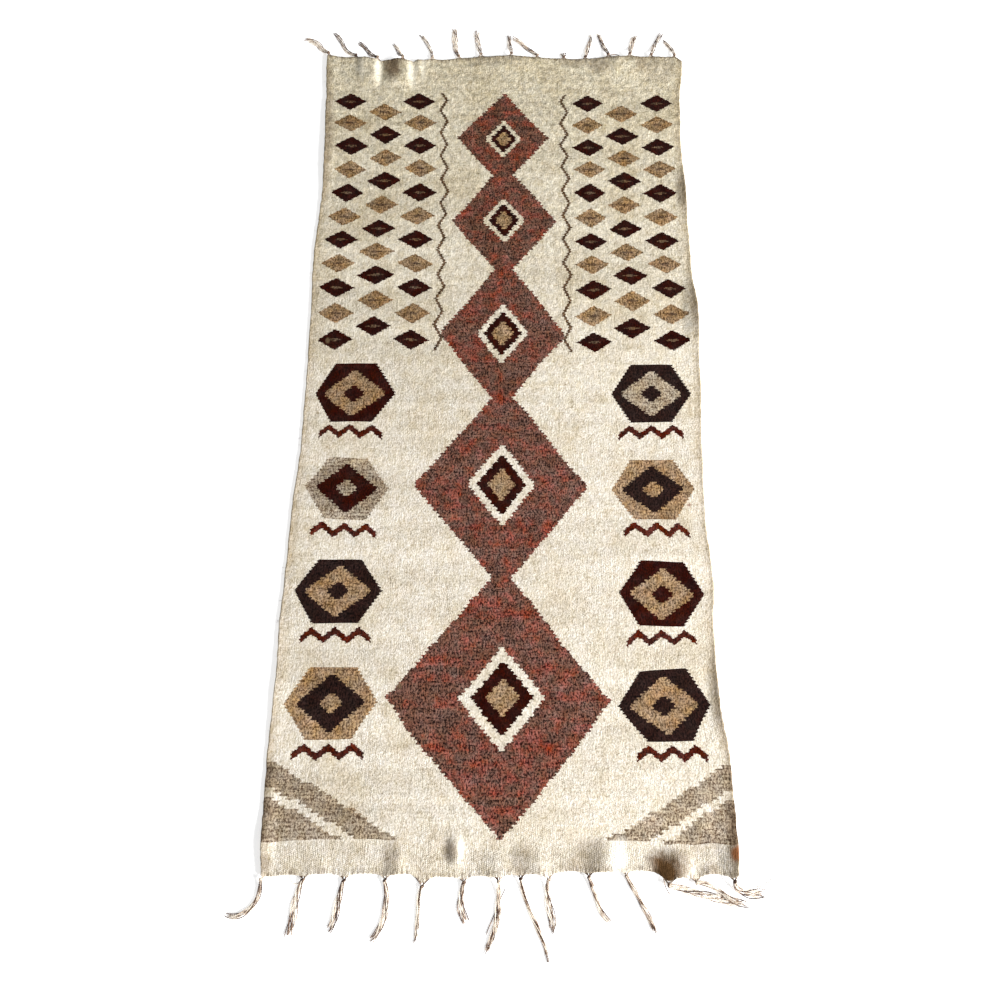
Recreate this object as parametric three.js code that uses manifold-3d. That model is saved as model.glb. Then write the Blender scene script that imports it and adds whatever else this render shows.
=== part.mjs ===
// A hand-woven wool tapestry with knotted fringe at both ends, lying flat.
// Millimetres, +Z up. +Y runs along the length towards the top end and +X is to the right.
// The origin is on the underside, at the middle of the cloth.
import * as THREE from 'three';
import { mergeVertices } from 'three/addons/utils/BufferGeometryUtils.js';
import Module from 'manifold-3d';

const wasm = await Module();
wasm.setup();

// Cloth
const clothLength = 1280;
const clothThickness = 3;
const columnCount = 56;
const rowCount = 26;
const rowCrowding = 1.6; // above 1 crowds the rows towards the ends, where the folds are
const endReach = 70; // how far the waves of an end edge carry into the cloth
const cuspHalfWidth = 20; // of the point that a knot draws out of an end edge

// Fringe
const knotGap = 0.3; // from the cloth's edge to each knot
const knotWidth = 7;
const knotHeight = 6;
const knotSides = 8;
const knotRings = 4;
const strandSteps = 8;
const strandHeight = 1.4; // as a share of a strand's girth
const strandTaper = 0.4; // how much of its girth a strand loses towards the tip
const strandSpace = 0.4; // between neighbouring strands
const settleLength = 22; // over which a strand comes down from a raised edge to the surface
const crossingStart = 0.45; // share of the length where a crossing tassel starts to rise
const crossingEnd = 0.75; // share of the length from where it lies on its neighbour

const clothColour = '#d8ceb2';
const fringeColour = '#c9bb9f';

// Distance of each selvedge from the centre line, at stations along the length.
const selvedges = [
  { along: -640, left: 304, right: 302 },
  { along: -600, left: 307.5, right: 304 },
  { along: -500, left: 309, right: 302.5 },
  { along: -429, left: 306.5, right: 293.5 },
  { along: -377, left: 305.5, right: 291.5 },
  { along: -322, left: 307, right: 292.5 },
  { along: -262, left: 304.5, right: 296.5 },
  { along: -170, left: 302.5, right: 291 },
  { along: -60, left: 296.5, right: 293 },
  { along: 40, left: 296, right: 298 },
  { along: 150, left: 297.5, right: 300.5 },
  { along: 242, left: 300, right: 295.5 },
  { along: 390, left: 294, right: 294.5 },
  { along: 467, left: 296, right: 292.5 },
  { along: 545, left: 299.5, right: 295.5 },
  { along: 640, left: 304, right: 304 },
];

// How far each end edge reaches past half the cloth's length, at stations across the width.
const topEdge = [
  { across: -310, reach: 3 },
  { across: -261, reach: 0 },
  { across: -228, reach: -5.5 },
  { across: -150, reach: -6.5 },
  { across: -107, reach: -3.5 },
  { across: -60, reach: 0 },
  { across: 0, reach: 1.5 },
  { across: 60, reach: 1 },
  { across: 119, reach: -1.5 },
  { across: 175, reach: 0.5 },
  { across: 216, reach: -1 },
  { across: 270, reach: 2 },
  { across: 292, reach: 2 },
  { across: 306, reach: -7 },
];
const bottomEdge = [
  { across: -310, reach: -0.5 },
  { across: -290, reach: 3 },
  { across: -262, reach: 1 },
  { across: -226, reach: 0 },
  { across: -120, reach: -1 },
  { across: -66, reach: 3 },
  { across: -21, reach: 1 },
  { across: 40, reach: -2 },
  { across: 93, reach: -5 },
  { across: 177, reach: -6.5 },
  { across: 235, reach: 0 },
  { across: 270, reach: -3.5 },
  { across: 292, reach: -2.5 },
  { across: 306, reach: -6 },
];

// Where the cloth stands off the surface: the crest's place, its half width across and half
// length along the cloth, its turn in degrees and its height.
const folds = [
  { x: -300, y: 640, across: 40, along: 90, turn: 0, height: 2.5 },
  { x: -245, y: 645, across: 45, along: 80, turn: 0, height: 2 },
  { x: -224, y: 648, across: 18, along: 54, turn: 0, height: 4 },
  { x: -177, y: 648, across: 22, along: 56, turn: 0, height: 4 },
  { x: -150, y: 645, across: 45, along: 70, turn: 0, height: 2.5 },
  { x: -5, y: 645, across: 90, along: 75, turn: 0, height: 3 },
  { x: 216, y: 650, across: 42, along: 75, turn: 0, height: 7 },
  { x: 286, y: 640, across: 34, along: 50, turn: 0, height: 2 },
  { x: -300, y: 440, across: 30, along: 150, turn: 0, height: 2.5 },
  { x: 306, y: 372, across: 34, along: 60, turn: 0, height: 4 },
  { x: 308, y: 160, across: 36, along: 80, turn: 0, height: 5 },
  { x: -312, y: -400, across: 30, along: 120, turn: 0, height: 2.5 },
  { x: 306, y: -410, across: 30, along: 80, turn: 0, height: 3 },
  { x: -308, y: -615, across: 24, along: 60, turn: 0, height: 3.5 },
  { x: -128, y: -650, across: 28, along: 42, turn: 0, height: 3 },
  { x: -58, y: -612, across: 16, along: 30, turn: 20, height: 2.5 },
  { x: -5, y: -650, across: 34, along: 62, turn: 0, height: 3.5 },
  { x: 52, y: -650, across: 28, along: 48, turn: 0, height: 3 },
  { x: 133, y: -648, across: 30, along: 64, turn: 0, height: 6 },
  { x: 222, y: -638, across: 28, along: 38, turn: 0, height: 6.5 },
  { x: 264, y: -650, across: 22, along: 34, turn: 0, height: 3 },
  { x: 306, y: -634, across: 32, along: 60, turn: 0, height: 6.5 },
];

// Each tassel's place across the width, the cusp that its knot pulls out of the edge and its
// length. Its heading in degrees from straight outwards, positive to the right, is given at
// the root, the middle and the tip. Then its strands, their girth and how far they part.
const topTassels = [
  { x: -301, pull: 1, length: 59, root: -60, mid: -43, tip: -110, strands: 3, girth: 1.8, flare: 0.1 },
  { x: -254, pull: 1, length: 69, root: -76, mid: -27, tip: -52, strands: 2, girth: 2, flare: 0.1 },
  { x: -216, pull: 1, length: 54, root: -55, mid: -37, tip: -60, strands: 2, girth: 1.9, flare: 0.3 },
  { x: -172, pull: 1, length: 47, root: -24, mid: -23, tip: -47, strands: 2, girth: 2, flare: 0.3 },
  { x: -123, pull: 2, length: 57, root: -12, mid: -24, tip: -48, strands: 2, girth: 2.1, flare: 0.1 },
  { x: -78, pull: 1, length: 66, root: -32, mid: -1, tip: -22, strands: 3, girth: 1.7, flare: 0.2 },
  { x: -40, pull: 2, length: 58, root: -13, mid: -8, tip: -6, strands: 2, girth: 1.9, flare: 1.6 },
  { x: 12, pull: 1, length: 45, root: -5, mid: -6, tip: -6, strands: 2, girth: 2, flare: 0.1 },
  { x: 57, pull: 1, length: 60, root: -47, mid: -48, tip: -56, strands: 2, girth: 2, flare: 0.1 },
  { x: 102, pull: 1, length: 9, root: -10, mid: -12, tip: -15, strands: 3, girth: 1.7, flare: 0.8 },
  { x: 139, pull: 1, length: 49, root: 15, mid: 16, tip: 18, strands: 2, girth: 2, flare: 0.1 },
  { x: 178, pull: 1, length: 51, root: -13, mid: -20, tip: -11, strands: 2, girth: 2, flare: 0.1 },
  { x: 214, pull: 1, length: 51, root: 11, mid: 16, tip: 27, strands: 3, girth: 1.7, flare: 0.1 },
  { x: 251, pull: 1, length: 55, root: 19, mid: 23, tip: 32, strands: 2, girth: 1.9, flare: 0.4 },
  { x: 291, pull: 0, length: 40, root: -3, mid: -29, tip: -42, strands: 2, girth: 1.9, flare: 0.1 },
];
const bottomTassels = [
  { x: -303, pull: 2, length: 75, root: 3, mid: -45, tip: -120, strands: 2, girth: 2.1, flare: 0.3 },
  { x: -250, pull: 3, length: 70, root: -27, mid: -8, tip: -16, strands: 3, girth: 1.7, flare: 1 },
  { x: -198, pull: 4.5, length: 63, root: -21, mid: -11, tip: -32, strands: 3, girth: 1.6, flare: 0.7 },
  { x: -146, pull: 4, length: 78, root: 11, mid: -11, tip: -51, strands: 3, girth: 1.6, flare: 0.2 },
  { x: -99, pull: 10.5, length: 67, root: -23, mid: 0, tip: -19, strands: 2, girth: 1.8, flare: 0.1 },
  { x: -46, pull: 3.5, length: 50, root: -14, mid: 2, tip: 43, strands: 3, girth: 1.6, flare: 1 },
  { x: -2, pull: 2.5, length: 89, root: 2, mid: -10, tip: -36, strands: 3, girth: 1.7, flare: 0.1 },
  { x: 26, pull: 1, length: 106, root: 3, mid: 27, tip: 0, strands: 2, girth: 1.6, flare: 0.1 },
  { x: 61, pull: 4.5, length: 64, root: -15, mid: 11, tip: -1, strands: 3, girth: 1.5, flare: 1.2 },
  { x: 112, pull: 3, length: 64, root: 24, mid: 21, tip: 62, strands: 2, girth: 2, flare: 0.2 },
  { x: 160, pull: 2.5, length: 78, root: 25, mid: 30, tip: 19, strands: 2, girth: 2, flare: 0.1 },
  { x: 212, pull: 11, length: 110, root: 72, mid: 78, tip: 81, strands: 3, girth: 2, flare: 0.3 },
  { x: 248, pull: 4.5, length: 60, root: 90, mid: 58, tip: 65, strands: 2, girth: 2, flare: 0.1 },
  { x: 295, pull: 4, length: 47, root: 7, mid: 79, tip: 76, strands: 3, girth: 1.8, flare: 1.8 },
];

// How high the tip of a tassel rides where it lies across its neighbour.
const crossings = [
  { end: 'top', number: 9, height: 2.2 },
  { end: 'bottom', number: 13, height: 2.4 },
];

// One end of the cloth: `outward` is +1 at the top end and -1 at the bottom end.
const topEnd = { name: 'top', outward: 1, edge: topEdge, tassels: topTassels };
const bottomEnd = { name: 'bottom', outward: -1, edge: bottomEdge, tassels: bottomTassels };

// Rises smoothly from 0 at `from` to 1 at `to`.
function smoothStep(from, to, value) {
  const t = THREE.MathUtils.clamp((value - from) / (to - from), 0, 1);
  return t * t * (3 - 2 * t);
}

// Reads one column of a table at a station, rounding off between its rows.
function readTable(rows, key, column, station) {
  const last = rows.length - 2;
  const next = rows.findIndex((row) => row[key] > station);
  const row = next < 0 ? last : Math.max(0, next - 1);
  const before = rows[row];
  const after = rows[row + 1];
  return THREE.MathUtils.lerp(
    before[column],
    after[column],
    smoothStep(before[key], after[key], station),
  );
}

// A rounded point with its tip at 0, down to nothing at the half width.
function cusp(distance, halfWidth) {
  const t = 1 - Math.abs(distance) / halfWidth;
  return t > 0 ? t * t : 0;
}

// How far the end edge reaches from the centre of the cloth, at a place across the width.
function edgeReach(end, x) {
  const pulls = end.tassels.map((tassel) => tassel.pull * cusp(x - tassel.x, cuspHalfWidth));
  return clothLength / 2 + readTable(end.edge, 'across', 'reach', x) + Math.max(...pulls);
}

// How far the underside stands off the surface.
function liftAt(x, y) {
  let lift = 0;
  for (const fold of folds) {
    const turn = THREE.MathUtils.degToRad(fold.turn);
    const dx = x - fold.x;
    const dy = y - fold.y;
    const across = (dx * Math.cos(turn) + dy * Math.sin(turn)) / fold.across;
    const along = (dy * Math.cos(turn) - dx * Math.sin(turn)) / fold.along;
    const far = Math.hypot(across, along);
    if (far < 1) {
      lift += fold.height * Math.cos((Math.PI / 2) * far) ** 2;
    }
  }
  return lift;
}

// Moves a place across the width onto a tassel's own place when one is within half a column.
function snapToTassel(end, x, pitch) {
  const near = end.tassels.find((tassel) => Math.abs(tassel.x - x) < pitch / 2);
  return near ? near.x : x;
}

// The place of a grid point, from -1 to 1 across and along, on the underside or the top.
function clothPoint(across, along, onTop) {
  const end = along > 0 ? topEnd : bottomEnd;
  const share = 1 - (1 - Math.abs(along)) ** rowCrowding;
  const level = (end.outward * share * clothLength) / 2;
  const side = across > 0 ? 'right' : 'left';
  const halfWidth = readTable(selvedges, 'along', side, level);
  const straight = across * halfWidth;
  const atEnd = smoothStep(clothLength / 2 - endReach, clothLength / 2, Math.abs(level));
  const inner = Math.abs(across) < 1;
  const snapped = inner ? snapToTassel(end, straight, (2 * halfWidth) / columnCount) : straight;
  const x = THREE.MathUtils.lerp(straight, snapped, atEnd);
  const y = level + end.outward * atEnd * (edgeReach(end, x) - clothLength / 2);
  return new THREE.Vector3(x, y, liftAt(x, y) + (onTop ? clothThickness : 0));
}

// Leaves only positions, with shared corners merged, so that the mesh is one closed body.
function closeMesh(geometry) {
  geometry.deleteAttribute('normal');
  geometry.deleteAttribute('uv');
  return mergeVertices(geometry);
}

// Moves every point of a geometry through a function of its own coordinates.
function reshape(geometry, place) {
  const positions = geometry.getAttribute('position');
  const point = new THREE.Vector3();
  for (let index = 0; index < positions.count; index += 1) {
    const moved = place(point.fromBufferAttribute(positions, index));
    positions.setXYZ(index, moved.x, moved.y, moved.z);
  }
  return geometry;
}

function toSolid(geometry) {
  const closed = closeMesh(geometry);
  return new wasm.Manifold(
    new wasm.Mesh({
      numProp: 3,
      vertProperties: Float32Array.from(closed.getAttribute('position').array),
      triVerts: Uint32Array.from(closed.getIndex().array),
    }),
  );
}

function fromSolid(solid) {
  const mesh = solid.getMesh();
  const geometry = new THREE.BufferGeometry();
  geometry.setAttribute('position', new THREE.BufferAttribute(mesh.vertProperties, 3));
  geometry.setIndex(new THREE.BufferAttribute(mesh.triVerts, 1));
  return geometry;
}

// The woven panel: a thin sheet with wandering selvedges, drawn-out end edges and folds.
function clothGeometry() {
  const sheet = new THREE.BoxGeometry(2, 2, 1, columnCount, rowCount, 1);
  return closeMesh(reshape(sheet, (point) => clothPoint(point.x, point.y, point.z > 0)));
}

// The heading at a share of the length, a parabola through the root, middle and tip values.
function headingAt(tassel, share) {
  const root = tassel.root * (1 - share) * (1 - 2 * share);
  const mid = tassel.mid * 4 * share * (1 - share);
  const tip = tassel.tip * share * (2 * share - 1);
  return THREE.MathUtils.degToRad(root + mid + tip);
}

// The centre line of a tassel on the surface, with the sideways direction at each step.
function tasselPath(end, tassel, start) {
  const step = tassel.length / strandSteps;
  const path = [];
  const at = start.clone();
  for (let index = 0; index <= strandSteps; index += 1) {
    const share = index / strandSteps;
    const heading = headingAt(tassel, share);
    const sideways = new THREE.Vector2(end.outward * Math.cos(heading), -Math.sin(heading));
    path.push({ share, x: at.x, y: at.y, sideways });
    const midway = headingAt(tassel, share + 0.5 / strandSteps);
    at.x += step * Math.sin(midway);
    at.y += step * end.outward * Math.cos(midway);
  }
  return path;
}

// One four-sided strand: `lane` counts strands sideways from the middle of the bundle.
function strandGeometry(tassel, path, lane, lift, crossing) {
  const strand = new THREE.BoxGeometry(1, 1, 1, 1, strandSteps, 1);
  return reshape(strand, (point) => {
    const spot = path[Math.round((point.y + 0.5) * strandSteps)];
    const girth = tassel.girth * (1 - strandTaper * spot.share ** 2);
    const parted = tassel.flare * Math.sin(Math.PI * Math.min(1, spot.share * 0.75));
    const offset = lane * (tassel.girth + strandSpace + parted) + point.x * girth;
    const settled = lift * (1 - smoothStep(0, settleLength, spot.share * tassel.length));
    const riding = crossing * smoothStep(crossingStart, crossingEnd, spot.share);
    return new THREE.Vector3(
      spot.x + spot.sideways.x * offset,
      spot.y + spot.sideways.y * offset,
      settled + riding + (point.z + 0.5) * strandHeight * girth,
    );
  });
}

// A tassel: the knot against the cloth's edge and the strands that come out of it.
function tasselGeometry(end, tassel, number) {
  const edge = end.outward * edgeReach(end, tassel.x);
  const lift = liftAt(tassel.x, edge);
  const start = new THREE.Vector2(tassel.x, edge + end.outward * (knotGap + knotWidth / 2));
  const knot = new THREE.SphereGeometry(1, knotSides, knotRings);
  knot.rotateX(Math.PI / 2);
  knot.scale(knotWidth / 2, knotWidth / 2, knotHeight / 2);
  knot.translate(start.x, start.y, lift + knotHeight / 2);
  const path = tasselPath(end, tassel, start);
  const crossed = crossings.find((row) => row.end === end.name && row.number === number);
  const crossing = crossed ? crossed.height : 0;
  let solid = toSolid(knot);
  for (let index = 0; index < tassel.strands; index += 1) {
    const lane = index - (tassel.strands - 1) / 2;
    solid = solid.add(toSolid(strandGeometry(tassel, path, lane, lift, crossing)));
  }
  return fromSolid(solid);
}

function woollen(name, geometry, colour) {
  const material = new THREE.MeshStandardMaterial({ color: colour, roughness: 0.95, metalness: 0 });
  const mesh = new THREE.Mesh(geometry, material);
  mesh.name = name;
  return mesh;
}

function fringe(end) {
  const group = new THREE.Group();
  end.tassels.forEach((tassel, index) => {
    const number = index + 1;
    const name = `tassel_${end.name}_${String(number).padStart(2, '0')}`;
    group.add(woollen(name, tasselGeometry(end, tassel, number), fringeColour));
  });
  return group;
}

const tapestry = new THREE.Group();
tapestry.add(woollen('woven_panel', clothGeometry(), clothColour));
tapestry.add(fringe(topEnd));
tapestry.add(fringe(bottomEnd));

export default tapestry;
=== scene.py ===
# Looks of a hand-woven wool tapestry that lies flat, with a knotted fringe at both ends.
import math

import bpy
import numpy as np
from mathutils import Matrix, Vector, noise


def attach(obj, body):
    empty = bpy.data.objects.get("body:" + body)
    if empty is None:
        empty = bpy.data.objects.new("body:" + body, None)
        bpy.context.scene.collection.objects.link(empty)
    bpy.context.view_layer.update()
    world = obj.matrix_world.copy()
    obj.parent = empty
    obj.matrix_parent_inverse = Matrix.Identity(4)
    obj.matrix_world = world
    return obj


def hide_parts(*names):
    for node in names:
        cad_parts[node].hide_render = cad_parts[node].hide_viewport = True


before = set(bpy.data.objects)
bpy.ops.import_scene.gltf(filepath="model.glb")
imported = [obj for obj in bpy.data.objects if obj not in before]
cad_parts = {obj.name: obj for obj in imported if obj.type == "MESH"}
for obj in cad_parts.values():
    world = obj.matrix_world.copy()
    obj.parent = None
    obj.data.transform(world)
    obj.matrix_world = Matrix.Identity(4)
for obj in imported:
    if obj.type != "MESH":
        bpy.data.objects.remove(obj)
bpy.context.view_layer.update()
mm = 0.001               # the tables are in millimetres, the scene in metres


# Small helpers

def hexColour(text):
    # an sRGB hex value as linear red, green, blue and alpha
    parts = [int(text[at:at + 2], 16) / 255 for at in (1, 3, 5)]
    linear = [part / 12.92 if part < 0.0405 else ((part + 0.055) / 1.055) ** 2.4 for part in parts]
    return linear + [1.0]


def addNode(tree, kind, settings=None, links=None, stops=None):
    # one node with its settings, its values or links by socket, and a ramp's stops
    node = tree.nodes.new(kind)
    for name, value in (settings or {}).items():
        setattr(node, name, value)
    for key, value in (links or {}).items():
        if isinstance(value, bpy.types.NodeSocket):
            tree.links.new(value, node.inputs[key])
        else:
            node.inputs[key].default_value = value
    if stops:
        ramp = node.color_ramp
        while len(ramp.elements) < len(stops):
            ramp.elements.new(1.0)
        for element, (place, colour) in zip(ramp.elements, stops):
            element.position = place
            element.color = colour
    return node.outputs


def smoothStep(low, high, value):
    # rises smoothly from 0 at low to 1 at high
    t = np.clip((value - low) / (high - low), 0, 1)
    return t * t * (3 - 2 * t)


def readTable(rows, station):
    # the value at a station, rounding off between the rows
    stations, values = np.array(rows, float).T
    before = np.clip(np.searchsorted(stations, station, side="right") - 1, 0, len(rows) - 2)
    share = smoothStep(stations[before], stations[before + 1], station)
    return values[before] * (1 - share) + values[before + 1] * share


# Shape of the cloth, as its solid has it

cloth = {
    "flatWidth": 610,        # as woven, before the selvedges wander
    "length": 1280,
    "thickness": 3,
    "ribPitch": 5,           # one raised rib for each pair of warps
    "ribDepth": 0.1,
    "selvedgeSwell": 0.5,    # the outermost rib is a thicker cord
    "edgeRound": 1.5,
    "halfRows": 95,
    "rowCrowding": 1.6,      # above 1 crowds the rows towards the ends, where the folds are
    "endReach": 70,          # how far the waves of an end edge carry into the cloth
    "cuspHalfWidth": 17,     # of the point that a knot draws out of an end edge
    "cuspPower": 1.3,        # 1 gives the point straight sides
    "gather": 0.38,          # how far the warps beside a knot close up towards it
    "gatherDepth": 16,       # how far into the cloth they are still drawn in
    "cockle": 0.9,           # height of the slight unevenness all over the cloth
    "cockleSpan": 42,
    "cockleStretch": 1.5,    # longer along the cloth than across it
    "selvedgeWander": 0.9,   # small notches and swellings where the wefts turn back
    "endWander": 1.1,        # uneven last wefts
    "notchPitch": 7,         # along a selvedge
    "fineNotchPitch": 2.6,
    "notchPower": 12,        # keeps the notches out at the selvedge
    "outerRibWidth": 1.2,    # in ribs
    "outerRibDepth": 1.8,    # times the others'
    "wanderPitch": 3.4,      # of the last wefts' unevenness
    "wanderDepth": 9,        # how far from the end edge it dies out
    "creaseFade": 0.5,       # share of a crease's half length over which it keeps its height
}

# distance of the left and the right selvedge from the centre line, at stations along the length
leftSelvedge = [
    (-640, 304), (-600, 307.5), (-500, 309), (-429, 306.5), (-377, 305.5), (-322, 307),
    (-262, 304.5), (-170, 302.5), (-60, 296.5), (40, 296), (150, 297.5), (242, 300),
    (390, 294), (467, 296), (545, 299.5), (640, 304),
]
rightSelvedge = [
    (-640, 302), (-600, 304), (-500, 302.5), (-429, 293.5), (-377, 291.5), (-322, 292.5),
    (-262, 296.5), (-170, 291), (-60, 293), (40, 298), (150, 300.5), (242, 295.5),
    (390, 294.5), (467, 292.5), (545, 295.5), (640, 304),
]

# how far each end edge reaches past half the length, at stations across the width
topEdge = [
    (-310, 3), (-261, 0), (-240, -4), (-221, -10), (-204, -6.5), (-190, -8), (-168, -14),
    (-158, -10.5), (-148, -7.5), (-128, -5), (-107, -3.5), (-60, 0), (0, 1.5),
    (60, 1), (119, -1.5), (175, 0.5), (216, -1), (270, 2), (292, 2), (306, -7),
]
bottomEdge = [
    (-310, -0.5), (-290, 3), (-262, 1), (-226, 0), (-120, -1), (-66, 3), (-21, 1),
    (40, -2), (93, -5), (177, -6.5), (235, 0), (270, -3.5), (292, -2.5), (306, -6),
]

# crest of each fold: x, y, half width across, half length along, turn in degrees, height
folds = [
    (-300, 640, 40, 90, 0, 2.5), (-245, 645, 45, 80, 0, 2), (-224, 648, 18, 54, 0, 4),
    (-177, 648, 22, 56, 0, 4), (-150, 645, 45, 70, 0, 2.5), (-5, 645, 90, 75, 0, 3),
    (216, 650, 42, 75, 0, 7), (286, 640, 34, 50, 0, 2), (-300, 440, 30, 150, 0, 2.5),
    (306, 372, 34, 60, 0, 4), (308, 160, 36, 80, 0, 5), (-312, -400, 30, 120, 0, 2.5),
    (306, -410, 30, 80, 0, 3), (-308, -615, 24, 60, 0, 3.5), (-128, -650, 28, 42, 0, 3),
    (-58, -612, 16, 30, 20, 2.5), (-5, -650, 34, 62, 0, 3.5), (52, -650, 28, 48, 0, 3),
    (133, -648, 30, 64, 0, 6), (222, -638, 28, 38, 0, 6.5), (264, -650, 22, 34, 0, 3),
    (306, -634, 32, 60, 0, 6.5),
]

# sharp creases, too small for the solids: x and y of the crest, the width of its long slope on
# the left and of its short one on the right, half length along, and height
creases = [
    (-220, 640, 30, 9.5, 74, 5.4), (-167, 640, 42, 13, 78, 7.4), (-145, 645, 9, 8, 62, 2.2),
    (-240, 645, 15, 10, 52, 2), (188, 645, 36, 22, 52, 3.4), (262, 645, 30, 14, 44, 2.4),
    (30, 645, 60, 30, 36, 1.5), (143, -645, 44, 20, 50, 1.5), (47, -645, 34, 18, 50, 2.2),
    (-56, -612, 12, 8, 20, 1.7), (-130, -645, 18, 12, 42, 1.8), (-228, -645, 26, 14, 40, 1.5),
    (238, -642, 22, 13, 40, 2), (299, -600, 24, 8, 60, 2), (-296, 500, 10, 22, 150, 1.5),
    (303, 372, 24, 6, 50, 2.2), (302, 150, 26, 6, 62, 2.6), (300, -420, 22, 6, 64, 2),
    (-300, -560, 8, 14, 60, 2),
]

# x, pull on the edge, length, heading at root, middle and tip, strands, girth, flare
topTassels = [
    (-301, 1, 59, -60, -43, -110, 3, 1.8, 0.1), (-254, 1, 69, -76, -27, -52, 2, 2, 0.1),
    (-216, 1, 54, -55, -37, -60, 2, 1.9, 0.3), (-172, 1, 47, -24, -23, -47, 2, 2, 0.3),
    (-123, 2, 57, -12, -24, -48, 2, 2.1, 0.1), (-78, 1, 66, -32, -1, -22, 3, 1.7, 0.2),
    (-40, 2, 58, -13, -8, -6, 2, 1.9, 1.6), (12, 1, 45, -5, -6, -6, 2, 2, 0.1),
    (57, 1, 60, -47, -48, -56, 2, 2, 0.1), (102, 1, 9, -10, -12, -15, 3, 1.7, 0.8),
    (139, 1, 49, 15, 16, 18, 2, 2, 0.1), (178, 1, 51, -13, -20, -11, 2, 2, 0.1),
    (214, 1, 51, 11, 16, 27, 3, 1.7, 0.1), (251, 1, 55, 19, 23, 32, 2, 1.9, 0.4),
    (291, 0, 40, -3, -29, -42, 2, 1.9, 0.1),
]
bottomTassels = [
    (-303, 1.8, 75, 3, -45, -120, 2, 2.1, 0.3), (-250, 2, 70, -27, -8, -16, 3, 1.7, 1),
    (-198, 3.4, 63, -21, -11, -32, 3, 1.6, 0.7), (-146, 3, 78, 11, -11, -51, 3, 1.6, 0.2),
    (-99, 9.5, 67, -23, 0, -19, 2, 1.8, 0.1), (-46, 2.5, 50, -14, 2, 43, 3, 1.6, 1),
    (-2, 1.8, 89, 2, -10, -36, 3, 1.7, 0.1), (26, 1, 106, 3, 27, 0, 2, 1.6, 0.1),
    (61, 3.3, 64, -15, 11, -1, 3, 1.5, 1.2), (112, 1.8, 64, 24, 21, 62, 2, 2, 0.2),
    (160, 1.5, 78, 25, 30, 19, 2, 2, 0.1), (212, 7.2, 110, 72, 78, 81, 3, 2.3, 0.3),
    (248, 3.6, 60, 90, 58, 65, 2, 2.3, 0.1), (295, 3.2, 47, 7, 79, 76, 3, 1.8, 1.8),
]

ends = [
    {"name": "top", "outward": 1, "edge": topEdge, "tassels": topTassels, "fuller": 1.2},
    {"name": "bottom", "outward": -1, "edge": bottomEdge, "tassels": bottomTassels, "fuller": 0.5},
]


def edgeReach(end, x):
    # how far the end edge lies from the middle of the cloth, drawn out at each knot
    pulls = []
    for tassel in end["tassels"]:
        near = np.clip(1 - abs(x - tassel[0]) / cloth["cuspHalfWidth"], 0, 1)
        pulls.append(tassel[1] * near ** cloth["cuspPower"])
    return cloth["length"] / 2 + readTable(end["edge"], x) + np.max(pulls, axis=0)


def liftAt(x, y):
    # how far the underside stands off the floor
    lift = np.zeros_like(np.asarray(x + y, float))
    for foldX, foldY, halfAcross, halfAlong, turn, height in folds:
        angle = math.radians(turn)
        dx, dy = x - foldX, y - foldY
        across = (dx * math.cos(angle) + dy * math.sin(angle)) / halfAcross
        along = (dy * math.cos(angle) - dx * math.sin(angle)) / halfAlong
        far = np.minimum(np.hypot(across, along), 1)
        lift = lift + height * np.cos(math.pi / 2 * far) ** 2
    for crestX, crestY, leftWidth, rightWidth, halfAlong, height in creases:
        left = np.clip((crestX - x) / leftWidth, 0, 1)
        right = np.clip((x - crestX) / rightWidth, 0, 1)
        along = 1 - smoothStep(cloth["creaseFade"], 1, abs(y - crestY) / halfAlong)
        lift = lift + height * along * (1 - left ** 2) * np.cos(math.pi / 2 * right) ** 2
    return lift


# Woven panel: one closed sheet with a rib for each pair of warps

def ribStations():
    # places across the flat width: valley and crest of every rib, closer at the round edge
    half = cloth["flatWidth"] / 2
    inner = np.arange(0, half - cloth["ribPitch"] / 4, cloth["ribPitch"] / 2)
    rim = half - cloth["edgeRound"] * np.array([0.7, 0.25, 0])
    right = np.concatenate([inner, rim])
    return np.concatenate([-right[:0:-1], right])


def rowStations():
    # places along the flat length, crowded towards both ends
    count = cloth["halfRows"]
    share = 1 - (1 - np.linspace(0, 1, count + 1)) ** cloth["rowCrowding"]
    right = share * cloth["length"] / 2
    return np.concatenate([-right[:0:-1], right])


def clothPlace(flatX, flatY):
    # where a point of the flat cloth lies: drawn in at the selvedges and towards the knots
    half = cloth["flatWidth"] / 2
    selvedge = np.where(flatX > 0, readTable(rightSelvedge, flatY), readTable(leftSelvedge, flatY))
    wander = np.array([noise.noise(Vector((side, spot / cloth["notchPitch"], 0.5)))
                       + 0.5 * noise.noise(Vector((side, spot / cloth["fineNotchPitch"], 7)))
                       for side, spot in zip(np.sign(flatX), flatY)])
    selvedge = selvedge + cloth["selvedgeWander"] * wander * (abs(flatX) / half) ** cloth["notchPower"]
    x = flatX / half * selvedge
    y = flatY.copy()
    for end in ends:
        inward = cloth["length"] / 2 - flatY * end["outward"]
        drawn = cloth["gather"] * np.exp(-(inward / cloth["gatherDepth"]) ** 2)
        for tassel in end["tassels"]:
            away = tassel[0] - x
            near = np.clip(1 - abs(away) / cloth["cuspHalfWidth"], 0, 1)
            x = x + drawn * away * near ** 2
        atEnd = smoothStep(cloth["endReach"], 0, inward)
        y = y + end["outward"] * atEnd * (edgeReach(end, x) - cloth["length"] / 2)
        ragged = np.array([noise.noise(Vector((spot / cloth["wanderPitch"], end["outward"] * 5, 2)))
                           for spot in flatX])
        y = y + end["outward"] * cloth["endWander"] * ragged * smoothStep(cloth["wanderDepth"], 0, inward)
    return x, y


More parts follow.
